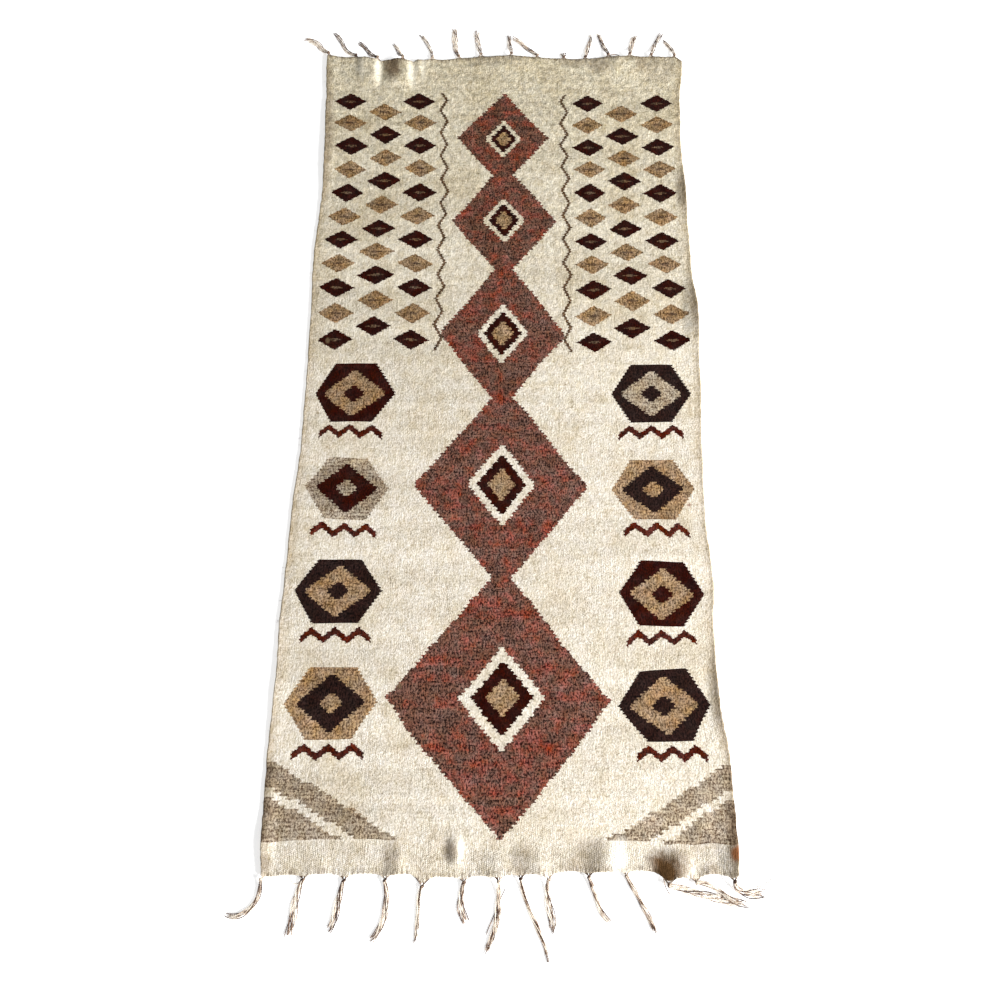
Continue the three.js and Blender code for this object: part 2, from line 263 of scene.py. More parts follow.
def cockleAt(x, y):
    # from 0 to 1 times its height, over all of the cloth
    span = cloth["cockleSpan"]
    wave = noise.noise(Vector((x / span, y / (cloth["cockleStretch"] * span), 3.1)))
    return cloth["cockle"] * (0.5 + 0.5 * wave)


def makeCloth():
    across, along = ribStations(), rowStations()
    flatX, flatY = [grid.ravel() for grid in np.meshgrid(across, along)]
    x, y = clothPlace(flatX, flatY)
    lift = liftAt(x, y) + np.array([cockleAt(*spot) for spot in zip(x, y)])
    inset = np.minimum(cloth["flatWidth"] / 2 - abs(flatX), cloth["length"] / 2 - abs(flatY))
    rounded = np.sqrt(1 - (1 - np.clip(inset / cloth["edgeRound"], 0, 1)) ** 2)
    valley = 1 - abs(np.sin(math.pi * flatX / cloth["ribPitch"]))
    outerRib = abs(flatX) > cloth["flatWidth"] / 2 - cloth["outerRibWidth"] * cloth["ribPitch"]
    depth = np.where(outerRib, cloth["outerRibDepth"], 1) * cloth["ribDepth"] * valley
    swell = np.where(outerRib & (valley < 0.5), cloth["selvedgeSwell"], 0)
    halfThick = (cloth["thickness"] / 2 - depth) * rounded
    middle = lift + cloth["thickness"] / 2
    columns, rows = len(across), len(along)
    index = np.arange(columns * rows).reshape(rows, columns)
    onRim = np.zeros((rows, columns), bool)
    onRim[[0, -1], :] = onRim[:, [0, -1]] = True
    inside = index[~onRim]
    under = index.copy()
    under[~onRim] = columns * rows + np.arange(len(inside))
    top = np.column_stack([x, y, middle + halfThick + swell * rounded])
    below = np.column_stack([x, y, middle - halfThick])[inside]
    corners = [(0, 0), (0, 1), (1, 1), (1, 0)]
    topFaces = np.stack([index[r:rows - 1 + r, c:columns - 1 + c].ravel() for r, c in corners], 1)
    underFaces = np.stack([under[r:rows - 1 + r, c:columns - 1 + c].ravel() for r, c in corners[::-1]], 1)
    flat = np.column_stack([flatX, flatY])
    flat = np.concatenate([flat, flat[inside]]) * mm
    faces = np.concatenate([topFaces, underFaces])
    mesh = bpy.data.meshes.new("wovenCloth")
    mesh.from_pydata((np.concatenate([top, below]) * mm).tolist(), [], faces.tolist())
    layer = mesh.uv_layers.new(name="flatCloth")   # metres on the flat cloth, from its middle
    layer.data.foreach_set("uv", flat[faces.ravel()].astype(np.float32).ravel())
    mesh.polygons.foreach_set("use_smooth", [True] * len(mesh.polygons))
    piece = bpy.data.objects.new("wovenCloth", mesh)
    bpy.context.scene.collection.objects.link(piece)
    return piece


# Design: a generic one of stepped lozenges, with nothing pictured

design = {
    "warp": 1.6, "weft": 1.6,          # one step of a drawn line across and along
    "tooth": 5.0, "toothDepth": 1.6,   # the dovetail teeth at upright colour joins
    "wobble": 7.0, "wobbleScale": 6.0,  # uneven hand: millimetres, and waves a metre
    "stepAcross": 4.0, "stepAlong": 3.2,
    "smallStart": 113, "smallColumn": 60, "smallColumns": 3.0, "smallRow": 44, "smallBottom": 84,
    "smallRows": 11, "smallHalfWidth": 28.5, "smallHalfHeight": 17.5,
    "barHalfSize": (0.2, 0.06),        # of the bar in a small lozenge, as shares of its cell
    "zigzagAt": 95, "zigzagSwing": 12, "zigzagHalfWidth": 2.6, "zigzagInset": 4.0,
    "panelPitch": 150, "panelBottom": -505, "panelCentre": 228, "panelRows": 4,
    "panelHalfWidth": 62, "panelHalfHeight": 46,
    "innerHalfSize": (44, 34), "innerStep": (5, 4), "eyeShare": 0.32,
    "waveHalfPitch": 16.0, "waveSlope": 0.8, "waveAt": -55.5, "waveHalfWidth": 5.2, "waveReach": 48.0,
    "fieldBottom": -603, "cornerFoot": 302.0, "cornerSize": (165, 96), "cornerStep": (8, 5.5),
    "cornerEdge": 0.98, "stripeAt": 0.6, "stripeHalfWidth": 0.06,   # as shares of the corner's size
}

# centre along the length, half width and half height of the lozenges down the middle, and their
# rings from the centre out, each with the share of the way where it starts
medallions = [(-424, 156, 178), (-124, 130, 152), (118, 98, 126), (318, 84, 104), (476, 74, 90)]
rings = [(0, "camelTan"), (0.13, "darkChocolate"), (0.26, "undyedCream"), (0.36, "madderHeather"),
         (0.97, "undyedCream")]

# ground and inner yarn of each side panel, from the bottom up, the left side first
panelYarns = [
    ("camelTan", "naturalBlack"), ("naturalBlack", "camelTan"), ("greyHeather", "darkChocolate"),
    ("darkChocolate", "camelTan"), ("naturalBlack", "camelTan"), ("darkChocolate", "camelTan"),
    ("camelTan", "naturalBlack"), ("naturalBlack", "greyHeather"),
]

# yarns in the order of their numbers: dark and light fibres, speckle, accent and its share,
# and how strongly single wefts show as lines across
yarns = {
    "undyedCream": ("#c3b7a1", "#f0e9df", 0.66, "#b9ac95", 0.3, 0.1),
    "madderHeather": ("#190907", "#866053", 1.15, "#943d32", 0.5, 0.25),
    "darkChocolate": ("#120301", "#36110b", 0.7, "#43160d", 0.3, 0.1),
    "naturalBlack": ("#0b0505", "#33211d", 0.9, "#281210", 0.3, 0.1),
    "camelTan": ("#513b29", "#b99a79", 1.0, "#7b5a38", 0.3, 0.25),
    "greyHeather": ("#5f4b3b", "#c6b7a2", 0.95, "#7d6955", 0.5, 0.35),
    "brickBrown": ("#1c0806", "#57251a", 0.7, "#6c2b20", 0.3, 0.2),
    "lineBrown": ("#2d1f18", "#7d6450", 0.8, "#5a4838", 0.3, 0.3),
}
yarnNumber = {name: number for number, name in enumerate(yarns)}
rampScale = 10.0             # a ramp's colours end at 1, so it holds the numbers divided by this


def drawnPlace(tree, flatMm):
    # moves the drawing by an uneven hand and by the teeth, and snaps it to whole threads
    noiseOut = addNode(tree, "ShaderNodeTexNoise", {"noise_dimensions": "2D"},
                       {"Vector": flatMm, "Scale": design["wobbleScale"] * mm, "Detail": 1.5})
    centred = addNode(tree, "ShaderNodeVectorMath", {"operation": "SUBTRACT"},
                      {0: noiseOut["Color"], 1: (0.5, 0.5, 0.5)})[0]
    wobble = addNode(tree, "ShaderNodeVectorMath", {"operation": "SCALE"},
                     {0: centred, "Scale": design["wobble"] * 2})[0]
    moved = addNode(tree, "ShaderNodeVectorMath", {"operation": "ADD"}, {0: flatMm, 1: wobble})[0]
    alongY = addNode(tree, "ShaderNodeSeparateXYZ", None, {0: flatMm})["Y"]
    phase = addNode(tree, "ShaderNodeMath", {"operation": "WRAP"},
                    {0: alongY, 1: design["tooth"], 2: 0.0})[0]
    upper = addNode(tree, "ShaderNodeMath", {"operation": "GREATER_THAN"},
                    {0: phase, 1: design["tooth"] / 2})[0]
    shift = addNode(tree, "ShaderNodeMath", {"operation": "MULTIPLY"},
                    {0: upper, 1: design["toothDepth"]})[0]
    toothed = addNode(tree, "ShaderNodeCombineXYZ", None, {"X": shift})[0]
    both = addNode(tree, "ShaderNodeVectorMath", {"operation": "ADD"}, {0: moved, 1: toothed})[0]
    return addNode(tree, "ShaderNodeVectorMath", {"operation": "SNAP"},
                   {0: both, 1: (design["warp"], design["weft"], 1)})[0]


def lozengeDistance(tree, place, centre, halfSize, step=None):
    # 0 in the middle of a lozenge and 1 on its outline, in steps if they are given
    local = addNode(tree, "ShaderNodeVectorMath", {"operation": "SUBTRACT"}, {0: place, 1: (*centre, 0)})[0]
    folded = addNode(tree, "ShaderNodeVectorMath", {"operation": "ABSOLUTE"}, {0: local})[0]
    if step:
        folded = addNode(tree, "ShaderNodeVectorMath", {"operation": "SNAP"}, {0: folded, 1: (*step, 1)})[0]
    return addNode(tree, "ShaderNodeVectorMath", {"operation": "DOT_PRODUCT"},
                   {0: folded, 1: (1 / halfSize[0], 1 / halfSize[1], 0)})["Value"]


def inlay(tree, ground, mask, number):
    # puts one yarn, or a field of yarn numbers, over the ground where the mask is 1
    return addNode(tree, "ShaderNodeMix", None, {0: mask, 2: ground, 3: number})[0]


def numberRamp(tree, share, names):
    # the number of the yarn that is named for each share from 0 to 1
    stops = [(at, [yarnNumber[name] / rampScale] * 3 + [1]) for at, name in names]
    ramp = addNode(tree, "ShaderNodeValToRGB", None, {0: share}, stops)["Color"]
    ramp.node.color_ramp.interpolation = "CONSTANT"
    return addNode(tree, "ShaderNodeMath", {"operation": "MULTIPLY"}, {0: ramp, 1: rampScale})[0]


def mirrored(tree, place):
    # the distance from the centre line, which makes both halves alike, and the place's own x and y
    parts = addNode(tree, "ShaderNodeSeparateXYZ", None, {0: place})
    outward = addNode(tree, "ShaderNodeMath", {"operation": "ABSOLUTE"}, {0: parts["X"]})[0]
    return outward, parts["X"], parts["Y"]


def bounded(tree, mask, bounds):
    # the part of a mask where every value passes its limit
    for value, operation, limit in bounds:
        within = addNode(tree, "ShaderNodeMath", {"operation": operation}, {0: value, 1: limit})[0]
        mask = addNode(tree, "ShaderNodeMath", {"operation": "MULTIPLY"}, {0: mask, 1: within})[0]
    return mask


def middleColumn(tree, place):
    nearest = None
    step = (design["stepAcross"], design["stepAlong"])
    for centre, halfWidth, halfHeight in medallions:
        distance = lozengeDistance(tree, place, (0, centre), (halfWidth, halfHeight), step)
        if nearest is not None:
            distance = addNode(tree, "ShaderNodeMath", {"operation": "MINIMUM"},
                               {0: nearest, 1: distance})[0]
        nearest = distance
    # the ramp takes half the distance, so that it also covers the ground outside
    half = addNode(tree, "ShaderNodeMath", {"operation": "MULTIPLY"}, {0: nearest, 1: 0.5})[0]
    return numberRamp(tree, half, [(at / 2, name) for at, name in rings])


def smallLozenges(tree, place, ground):
    # staggered rows of small lozenges on both sides of the upper half, in two colours by turns
    outward, x, y = mirrored(tree, place)
    folded = addNode(tree, "ShaderNodeCombineXYZ", None, {"X": outward, "Y": y})[0]
    cell = addNode(tree, "ShaderNodeVectorMath", {"operation": "SUBTRACT"},
                   {0: folded, 1: (design["smallStart"], design["smallBottom"], 0)})[0]
    cell = addNode(tree, "ShaderNodeVectorMath", {"operation": "DIVIDE"},
                   {0: cell, 1: (design["smallColumn"], design["smallRow"], 1)})[0]
    column = addNode(tree, "ShaderNodeSeparateXYZ", None, {0: cell})
    number = addNode(tree, "ShaderNodeMath", {"operation": "FLOOR"}, {0: column["X"]})[0]
    odd = addNode(tree, "ShaderNodeMath", {"operation": "FLOORED_MODULO"}, {0: number, 1: 2.0})[0]
    staggered = addNode(tree, "ShaderNodeMath", {"operation": "MULTIPLY_ADD"},
                        {0: odd, 1: 0.5, 2: column["Y"]})[0]
    row = addNode(tree, "ShaderNodeMath", {"operation": "FLOOR"}, {0: staggered})[0]
    local = addNode(tree, "ShaderNodeCombineXYZ", None, {"X": column["X"], "Y": staggered})[0]
    local = addNode(tree, "ShaderNodeVectorMath", {"operation": "FRACTION"}, {0: local})[0]
    halfSize = (design["smallHalfWidth"] / design["smallColumn"],
                design["smallHalfHeight"] / design["smallRow"])
    distance = lozengeDistance(tree, local, (0.5, 0.5), halfSize)
    shape = addNode(tree, "ShaderNodeMath", {"operation": "LESS_THAN"}, {0: distance, 1: 1.0})[0]
    bar = lozengeDistance(tree, local, (0.5, 0.5), design["barHalfSize"])
    bar = addNode(tree, "ShaderNodeMath", {"operation": "LESS_THAN"}, {0: bar, 1: 1.0})[0]
    turn = addNode(tree, "ShaderNodeMath", {"operation": "ADD"}, {0: number, 1: row})[0]
    turn = addNode(tree, "ShaderNodeMath", {"operation": "FLOORED_MODULO"}, {0: turn, 1: 2.0})[0]
    colour = inlay(tree, float(yarnNumber["darkChocolate"]), turn, float(yarnNumber["camelTan"]))
    colour = inlay(tree, colour, bar, float(yarnNumber["lineBrown"]))
    above = addNode(tree, "ShaderNodeMath", {"operation": "SUBTRACT"}, {0: row, 1: odd})[0]
    shape = bounded(tree, shape, [
        (above, "GREATER_THAN", -0.5), (row, "LESS_THAN", design["smallRows"] - 0.5),
        (column["X"], "GREATER_THAN", 0.0), (column["X"], "LESS_THAN", design["smallColumns"])])
    return inlay(tree, ground, shape, colour)


def fineZigzags(tree, place, ground):
    # one thin zigzag line up each side of the middle column, beside the small lozenges
    outward, x, y = mirrored(tree, place)
    swing = addNode(tree, "ShaderNodeMath", {"operation": "PINGPONG"},
                    {0: y, 1: design["smallRow"] / 2})[0]
    share = 2 * design["zigzagSwing"] / design["smallRow"]
    swing = addNode(tree, "ShaderNodeMath", {"operation": "MULTIPLY_ADD"},
                    {0: swing, 1: share, 2: outward})[0]
    outermost = design["zigzagAt"] + design["zigzagSwing"]
    line = addNode(tree, "ShaderNodeMath", {"operation": "COMPARE"},
                   {0: swing, 1: outermost, 2: design["zigzagHalfWidth"]})[0]
    top = design["smallBottom"] + design["smallRow"] * design["smallRows"]
    line = bounded(tree, line, [(y, "GREATER_THAN", design["smallBottom"] + design["zigzagInset"]),
                                (y, "LESS_THAN", top - design["zigzagInset"])])
    return inlay(tree, ground, line, float(yarnNumber["lineBrown"]))


def sidePanels(tree, place, ground):
    # large hexagons at both sides of the lower half, each with a lozenge and a zigzag below it
    outward, x, y = mirrored(tree, place)
    rowShare = addNode(tree, "ShaderNodeMath", {"operation": "SUBTRACT"},
                       {0: y, 1: design["panelBottom"]})[0]
    rowShare = addNode(tree, "ShaderNodeMath", {"operation": "DIVIDE"},
                       {0: rowShare, 1: design["panelPitch"]})[0]
    row = addNode(tree, "ShaderNodeMath", {"operation": "FLOOR"}, {0: rowShare})[0]
    inRow = addNode(tree, "ShaderNodeMath", {"operation": "FRACT"}, {0: rowShare})[0]
    localY = addNode(tree, "ShaderNodeMath", {"operation": "MULTIPLY_ADD"},
                     {0: inRow, 1: design["panelPitch"], 2: -design["panelPitch"] / 2})[0]
    side = addNode(tree, "ShaderNodeMath", {"operation": "GREATER_THAN"}, {0: x, 1: 0.0})[0]
    localX = addNode(tree, "ShaderNodeMath", {"operation": "SUBTRACT"},
                     {0: outward, 1: design["panelCentre"]})[0]
    local = addNode(tree, "ShaderNodeCombineXYZ", None, {"X": localX, "Y": localY})[0]
    slantedSize = (design["panelHalfWidth"], 2 * design["panelHalfHeight"])
    slanted = lozengeDistance(tree, local, (0, 0), slantedSize)
    levelY = addNode(tree, "ShaderNodeMath", {"operation": "ABSOLUTE"}, {0: localY})[0]
    flatEnds = addNode(tree, "ShaderNodeMath", {"operation": "DIVIDE"},
                       {0: levelY, 1: design["panelHalfHeight"]})[0]
    hexagon = addNode(tree, "ShaderNodeMath", {"operation": "MAXIMUM"}, {0: slanted, 1: flatEnds})[0]
    hexagon = addNode(tree, "ShaderNodeMath", {"operation": "LESS_THAN"}, {0: hexagon, 1: 1.0})[0]
    inner = lozengeDistance(tree, local, (0, 0), design["innerHalfSize"], design["innerStep"])
    eye = addNode(tree, "ShaderNodeMath", {"operation": "LESS_THAN"}, {0: inner, 1: design["eyeShare"]})[0]
    inner = addNode(tree, "ShaderNodeMath", {"operation": "LESS_THAN"}, {0: inner, 1: 1.0})[0]
    count = len(panelYarns)
    slot = addNode(tree, "ShaderNodeMath", {"operation": "MULTIPLY_ADD"},
                   {0: side, 1: design["panelRows"], 2: row})[0]
    slot = addNode(tree, "ShaderNodeMath", {"operation": "MULTIPLY_ADD"},
                   {0: slot, 1: 1 / count, 2: 0.5 / count})[0]
    colours = [numberRamp(tree, slot, [(at / count, pair[which]) for at, pair in enumerate(panelYarns)])
               for which in (0, 1)]
    wave = addNode(tree, "ShaderNodeMath", {"operation": "PINGPONG"},
                   {0: localX, 1: design["waveHalfPitch"]})[0]
    wave = addNode(tree, "ShaderNodeMath", {"operation": "MULTIPLY_ADD"},
                   {0: wave, 1: design["waveSlope"], 2: localY})[0]
    zigzag = addNode(tree, "ShaderNodeMath", {"operation": "COMPARE"},
                     {0: wave, 1: design["waveAt"], 2: design["waveHalfWidth"]})[0]
    farX = addNode(tree, "ShaderNodeMath", {"operation": "ABSOLUTE"}, {0: localX})[0]
    zigzag = bounded(tree, zigzag, [(farX, "LESS_THAN", design["waveReach"])])
    drawn = inlay(tree, ground, zigzag, float(yarnNumber["brickBrown"]))
    drawn = inlay(tree, drawn, hexagon, colours[0])
    drawn = inlay(tree, drawn, inner, colours[1])
    drawn = inlay(tree, drawn, eye, colours[0])
    within = bounded(tree, 1.0, [(row, "GREATER_THAN", -0.5),
                                 (row, "LESS_THAN", design["panelRows"] - 0.5)])
    return inlay(tree, ground, within, drawn)


def lowerCorners(tree, place, ground):
    # a stepped triangle of grey heather in each lower corner, with one plain stripe
    outward, x, y = mirrored(tree, place)
    fromSide = addNode(tree, "ShaderNodeMath", {"operation": "SUBTRACT"},
                       {0: design["cornerFoot"], 1: outward})[0]
    fromField = addNode(tree, "ShaderNodeMath", {"operation": "SUBTRACT"},
                        {0: y, 1: design["fieldBottom"]})[0]
    corner = addNode(tree, "ShaderNodeCombineXYZ", None, {"X": fromSide, "Y": fromField})[0]
    distance = lozengeDistance(tree, corner, (0, 0), design["cornerSize"], design["cornerStep"])
    above = [(fromField, "GREATER_THAN", 0.0)]
    grey = addNode(tree, "ShaderNodeMath", {"operation": "LESS_THAN"},
                   {0: distance, 1: design["cornerEdge"]})[0]
    drawn = inlay(tree, ground, bounded(tree, grey, above), float(yarnNumber["greyHeather"]))
    stripe = addNode(tree, "ShaderNodeMath", {"operation": "COMPARE"},
                     {0: distance, 1: design["stripeAt"], 2: design["stripeHalfWidth"]})[0]
    return inlay(tree, drawn, bounded(tree, stripe, above), float(yarnNumber["undyedCream"]))


# Wool of the cloth: matt hand-spun yarn, beaten down until it hides the warps

wool = {
    "roughness": 0.95, "sheen": 0.02, "sheenRoughness": 0.5, "specular": 0.04,
    "bead": (2.5, 2.2, 1),     # one weft over one warp: drawn coarser than the real weft so that it shows
    "speckleShares": (0.3, 1.5, 3.4), "speckleLevel": -2.6,   # of beads, streaks and grain
    "evenShade": 0.52,         # between the dark and the light fibres where no speckle is
    "lineGain": 4.0,
    "lot": 11, "lotSway": 14,  # length woven before the next lot of yarn, and how unevenly
    "accentGain": 4.5, "accentLevel": -4.2, "accentShading": (1.05, 0.15),
    "hue": (0.03, 0.487), "saturation": (0.8, 0.6), "valueSwing": (1.0, 0.35),   # range and lowest
    "mottleGain": 1.7,         # speckle that grows towards the upper end
    "upperEndTint": "#f3f1e3", "upperEndAt": (-100, 640),   # the upper end is a little darker and yellower
    # the slit tint is painted shade in the gaps where the last wefts part
    "slitShade": "#5a4636", "slitShare": 0.7, "slitAt": (629, 639), "slitNoise": (0.48, 0.62),
    "lastWeft": "#7d664c", "lastWeftShare": 0.5, "lastWeftAt": (635.5, 638),
    # the selvedge tint is partly soil and partly painted shade where the selvedges round over
    "selvedge": "#b5a17c", "selvedgeSoilAndShadeAt": (290, 305),   # distances from the middle of the cloth
    # the first tint is for soil and for painted shade at the folds
    "soilAndShade": "#6f5029", "spotRim": (1.15, 0.35), "spotRagged": 0.7,
    "warpPitch": 2.7, "ribSway": 9,
    "ribsShowAt": (594, 612), "clearNoise": (0.42, 0.64), "clearShare": (0.1, 0.7),
    "feltedHeight": 0.55, "grainHeight": 2.6, "lumpHeight": (3.6, 2.0),
    "bumpHeight": 0.45, "bumpStrength": 0.8,
    "hollow": 0.13,            # painted shade: how much darker the weave is between its beads
}

# soft noises over the flat cloth: waves a millimetre across and along, detail and roughness
noises = {
    "grain": ((0.4, 0.34), 3.0, 0.7),
    "streak": ((0.42, 0.12), 2.0, 0.6),       # upright
    "weftLine": ((0.035, 0.4), 2.5, 0.55),    # wefts that show one by one
    "cloud": ((0.05, 0.05), 4.0, 0.65),
    "lot": ((0.0016, 0.028), 2.0, 0.6),
    "mottle": ((0.11, 0.1), 3.0, 0.75),
    # the slit noise places painted shade in the gaps where the last wefts part
    "slitShade": ((0.3, 0.05), 2.0, 0.6),          # gaps where the last wefts part
    "clear": ((0.02, 0.014), 3.0, 0.6),       # where the ribs aren't felted over
    "lump": ((0.11, 0.13), 1.5, 0.5),
}

# uneven colour all over: waves a millimetre across and along, noise values where a patch starts
# and is full, share and tint of the patches
patches = [
    ((0.012, 0.009), (0.48, 0.68), 0.35, "#e4dac3"), ((0.05, 0.045), (0.52, 0.7), 0.3, "#ddd4be"),
    ((0.1, 0.13), (0.62, 0.76), 0.4, "#b0a182"), ((0.3, 0.26), (0.67, 0.8), 0.55, "#75634b"),
    ((0.33, 0.045), (0.5, 0.72), 0.28, "#b3a685"),
]

# places darker from soil and painted shade at folds: x, y, half width, half length on the flat cloth, and
# how dark
soilAndFoldShade = [
    (212, -630, 29, 25, 0.97), (224, -622, 25, 22, 0.5), (302, -594, 16, 54, 0.65),
    (268, -632, 14, 12, 0.3), (115, -616, 24, 25, 0.32), (92, -632, 24, 10, 0.2),
    (26, -622, 18, 22, 0.28), (-64, -610, 12, 15, 0.5), (-139, -616, 14, 22, 0.3),
    (-300, -625, 10, 14, 0.4), (300, 372, 12, 46, 0.4), (302, 160, 12, 46, 0.35),
    (163, 626, 26, 22, 0.4), (235, 626, 14, 18, 0.42), (-191, 622, 18, 38, 0.75),
    (-302, 480, 16, 150, 0.4), (-303, -500, 10, 60, 0.12), (303, -430, 12, 90, 0.35),
    (-12, 630, 60, 16, 0.22), (120, 632, 30, 14, 0.3), (262, 618, 46, 34, 0.3),
    (258, -606, 40, 26, 0.2),
]

# small stains, and painted highlights on the lit crests of folds: x, y, half width, half length,
# strength and tint
stainsAndHighlights = [
    (-215, 616, 9, 38, 0.65, "#f6f0de"), (-157, 610, 11, 38, 0.6, "#f6f0de"),
    (-139, 616, 5, 30, 0.4, "#f6f0de"), (-244, 612, 6, 30, 0.35, "#f6f0de"),
    (153, -619, 15, 26, 0.6, "#faf6ea"), (-50, -606, 5, 14, 0.6, "#faf6ea"),
    (301, -613, 9, 11, 0.85, "#7f4a26"), (281, -152, 4, 3, 0.7, "#84594a"),
    (-275, 105, 4, 6, 0.6, "#7a654c"), (-137, -407, 4, 5, 0.5, "#7a654c"),
]


def softNoise(tree, flatMm, stretch, detail=2.5, roughness=0.6):
    stretched = addNode(tree, "ShaderNodeVectorMath", {"operation": "MULTIPLY"},
                        {0: flatMm, 1: (*stretch, 0)})[0]
    return addNode(tree, "ShaderNodeTexNoise", {"noise_dimensions": "2D"},
                   {"Vector": stretched, "Scale": 1.0, "Detail": detail, "Roughness": roughness})


def yarnNumbers(tree, flatMm):
    # the number of the yarn that shows at each place
    place = drawnPlace(tree, flatMm)
    number = middleColumn(tree, place)
    number = fineZigzags(tree, place, number)
    number = smallLozenges(tree, place, number)
    number = sidePanels(tree, place, number)
    return lowerCorners(tree, place, number)


def clothFields(tree):
    # what the colour and the weave are both worked out from, in millimetres on the flat cloth
    flat = addNode(tree, "ShaderNodeUVMap", {"uv_map": "flatCloth"})[0]
    flatMm = addNode(tree, "ShaderNodeVectorMath", {"operation": "SCALE"}, {0: flat, "Scale": 1 / mm})[0]
    parts = addNode(tree, "ShaderNodeSeparateXYZ", None, {0: flatMm})
    cloud = softNoise(tree, flatMm, *noises["cloud"])
    fields = {
        "place": flatMm, "x": parts["X"], "y": parts["Y"],
        "number": yarnNumbers(tree, flatMm),
        "cloud": cloud["Fac"], "clouds": cloud["Color"],
        "dye": addNode(tree, "ShaderNodeSeparateXYZ", None, {0: cloud["Color"]}),
        "grain": softNoise(tree, flatMm, *noises["grain"])["Fac"],
    }
    farX = addNode(tree, "ShaderNodeMath", {"operation": "ABSOLUTE"}, {0: parts["X"]})[0]
    farY = addNode(tree, "ShaderNodeMath", {"operation": "ABSOLUTE"}, {0: parts["Y"]})[0]
    # each rises from 0 to 1 between its two distances from the middle
    for part, distance in (("upperEndAt", parts["Y"]), ("slitAt", farY), ("lastWeftAt", parts["Y"]),
                           ("selvedgeSoilAndShadeAt", farX), ("ribsShowAt", farY)):
        low, high = wool[part]
        fields[part] = addNode(tree, "ShaderNodeMapRange", None,
                               {"Value": distance, "From Min": low, "From Max": high})[0]
    return fields


def speckledYarn(tree, fields):
    # two fibre colours, carded together: soft grain, upright streaks, single beads and wefts
    ramps = {}
    count = len(yarns)
    keys = addNode(tree, "ShaderNodeMath", {"operation": "MULTIPLY_ADD"},
                   {0: fields["number"], 1: 1 / count, 2: 0.5 / count})[0]
    for part, colourAt, alphaAt in (("dark", 0, 2), ("light", 1, 5), ("accent", 3, 4)):
        stops = [(at / count, hexColour(yarn[colourAt])[:3] + [yarn[alphaAt]])
                 for at, yarn in enumerate(yarns.values())]
        ramps[part] = addNode(tree, "ShaderNodeValToRGB", None, {0: keys}, stops)
        ramps[part][0].node.color_ramp.interpolation = "CONSTANT"
    streak = softNoise(tree, fields["place"], *noises["streak"])["Fac"]
    weftLine = softNoise(tree, fields["place"], *noises["weftLine"])["Fac"]
    beadPlace = addNode(tree, "ShaderNodeVectorMath", {"operation": "SNAP"},
                        {0: fields["place"], 1: wool["bead"]})[0]
    bead = addNode(tree, "ShaderNodeTexWhiteNoise", {"noise_dimensions": "2D"},
                   {"Vector": beadPlace})["Value"]
    speckle = wool["speckleLevel"]
    for field, share in zip((bead, streak, fields["grain"]), wool["speckleShares"]):
        speckle = addNode(tree, "ShaderNodeMath", {"operation": "MULTIPLY_ADD"},
                          {0: field, 1: share, 2: speckle})[0]
    shade = addNode(tree, "ShaderNodeMath", {"operation": "MULTIPLY_ADD"},
                    {0: speckle, 1: ramps["dark"]["Alpha"], 2: wool["evenShade"]})[0]
    lines = addNode(tree, "ShaderNodeMath", {"operation": "MULTIPLY_ADD"},
                    {0: weftLine, 1: wool["lineGain"], 2: -wool["lineGain"] / 2})[0]
    lines = addNode(tree, "ShaderNodeMath", {"operation": "MULTIPLY"},
                    {0: lines, 1: ramps["light"]["Alpha"]})[0]
    shade = addNode(tree, "ShaderNodeMath", {"operation": "ADD", "use_clamp": True},
                    {0: shade, 1: lines})[0]
    colour = addNode(tree, "ShaderNodeMix", {"data_type": "RGBA"},
                     {0: shade, 6: ramps["dark"]["Color"], 7: ramps["light"]["Color"]})[2]
    return addAccent(tree, fields, colour, shade, ramps["accent"])


def addAccent(tree, fields, colour, shade, accentRamp):
    # a new lot of yarn every centimetre or more, with an uneven border, and cloudy patches
    sways = addNode(tree, "ShaderNodeVectorMath", {"operation": "SCALE"},
                    {0: fields["clouds"], "Scale": wool["lotSway"]})[0]
    lots = addNode(tree, "ShaderNodeVectorMath", {"operation": "ADD"}, {0: fields["place"], 1: sways})[0]
    lots = addNode(tree, "ShaderNodeVectorMath", {"operation": "SNAP"},
                   {0: lots, 1: (1, wool["lot"], 1)})[0]
    band = softNoise(tree, lots, *noises["lot"])["Fac"]
    accent = addNode(tree, "ShaderNodeMath", {"operation": "MULTIPLY_ADD"},
                     {0: band, 1: wool["accentGain"], 2: wool["accentLevel"]})[0]
    accent = addNode(tree, "ShaderNodeMath", {"operation": "MULTIPLY_ADD", "use_clamp": True},
                     {0: fields["cloud"], 1: wool["accentGain"], 2: accent})[0]
    accent = addNode(tree, "ShaderNodeMath", {"operation": "MULTIPLY"},
                     {0: accent, 1: accentRamp["Alpha"]})[0]
    gain, least = wool["accentShading"]
    depth = addNode(tree, "ShaderNodeMath", {"operation": "MULTIPLY_ADD"}, {0: shade, 1: gain, 2: least})[0]
    shaded = addNode(tree, "ShaderNodeVectorMath", {"operation": "SCALE"},
                     {0: accentRamp["Color"], "Scale": depth})[0]
    return addNode(tree, "ShaderNodeMix", {"data_type": "RGBA"}, {0: accent, 6: colour, 7: shaded})[2]


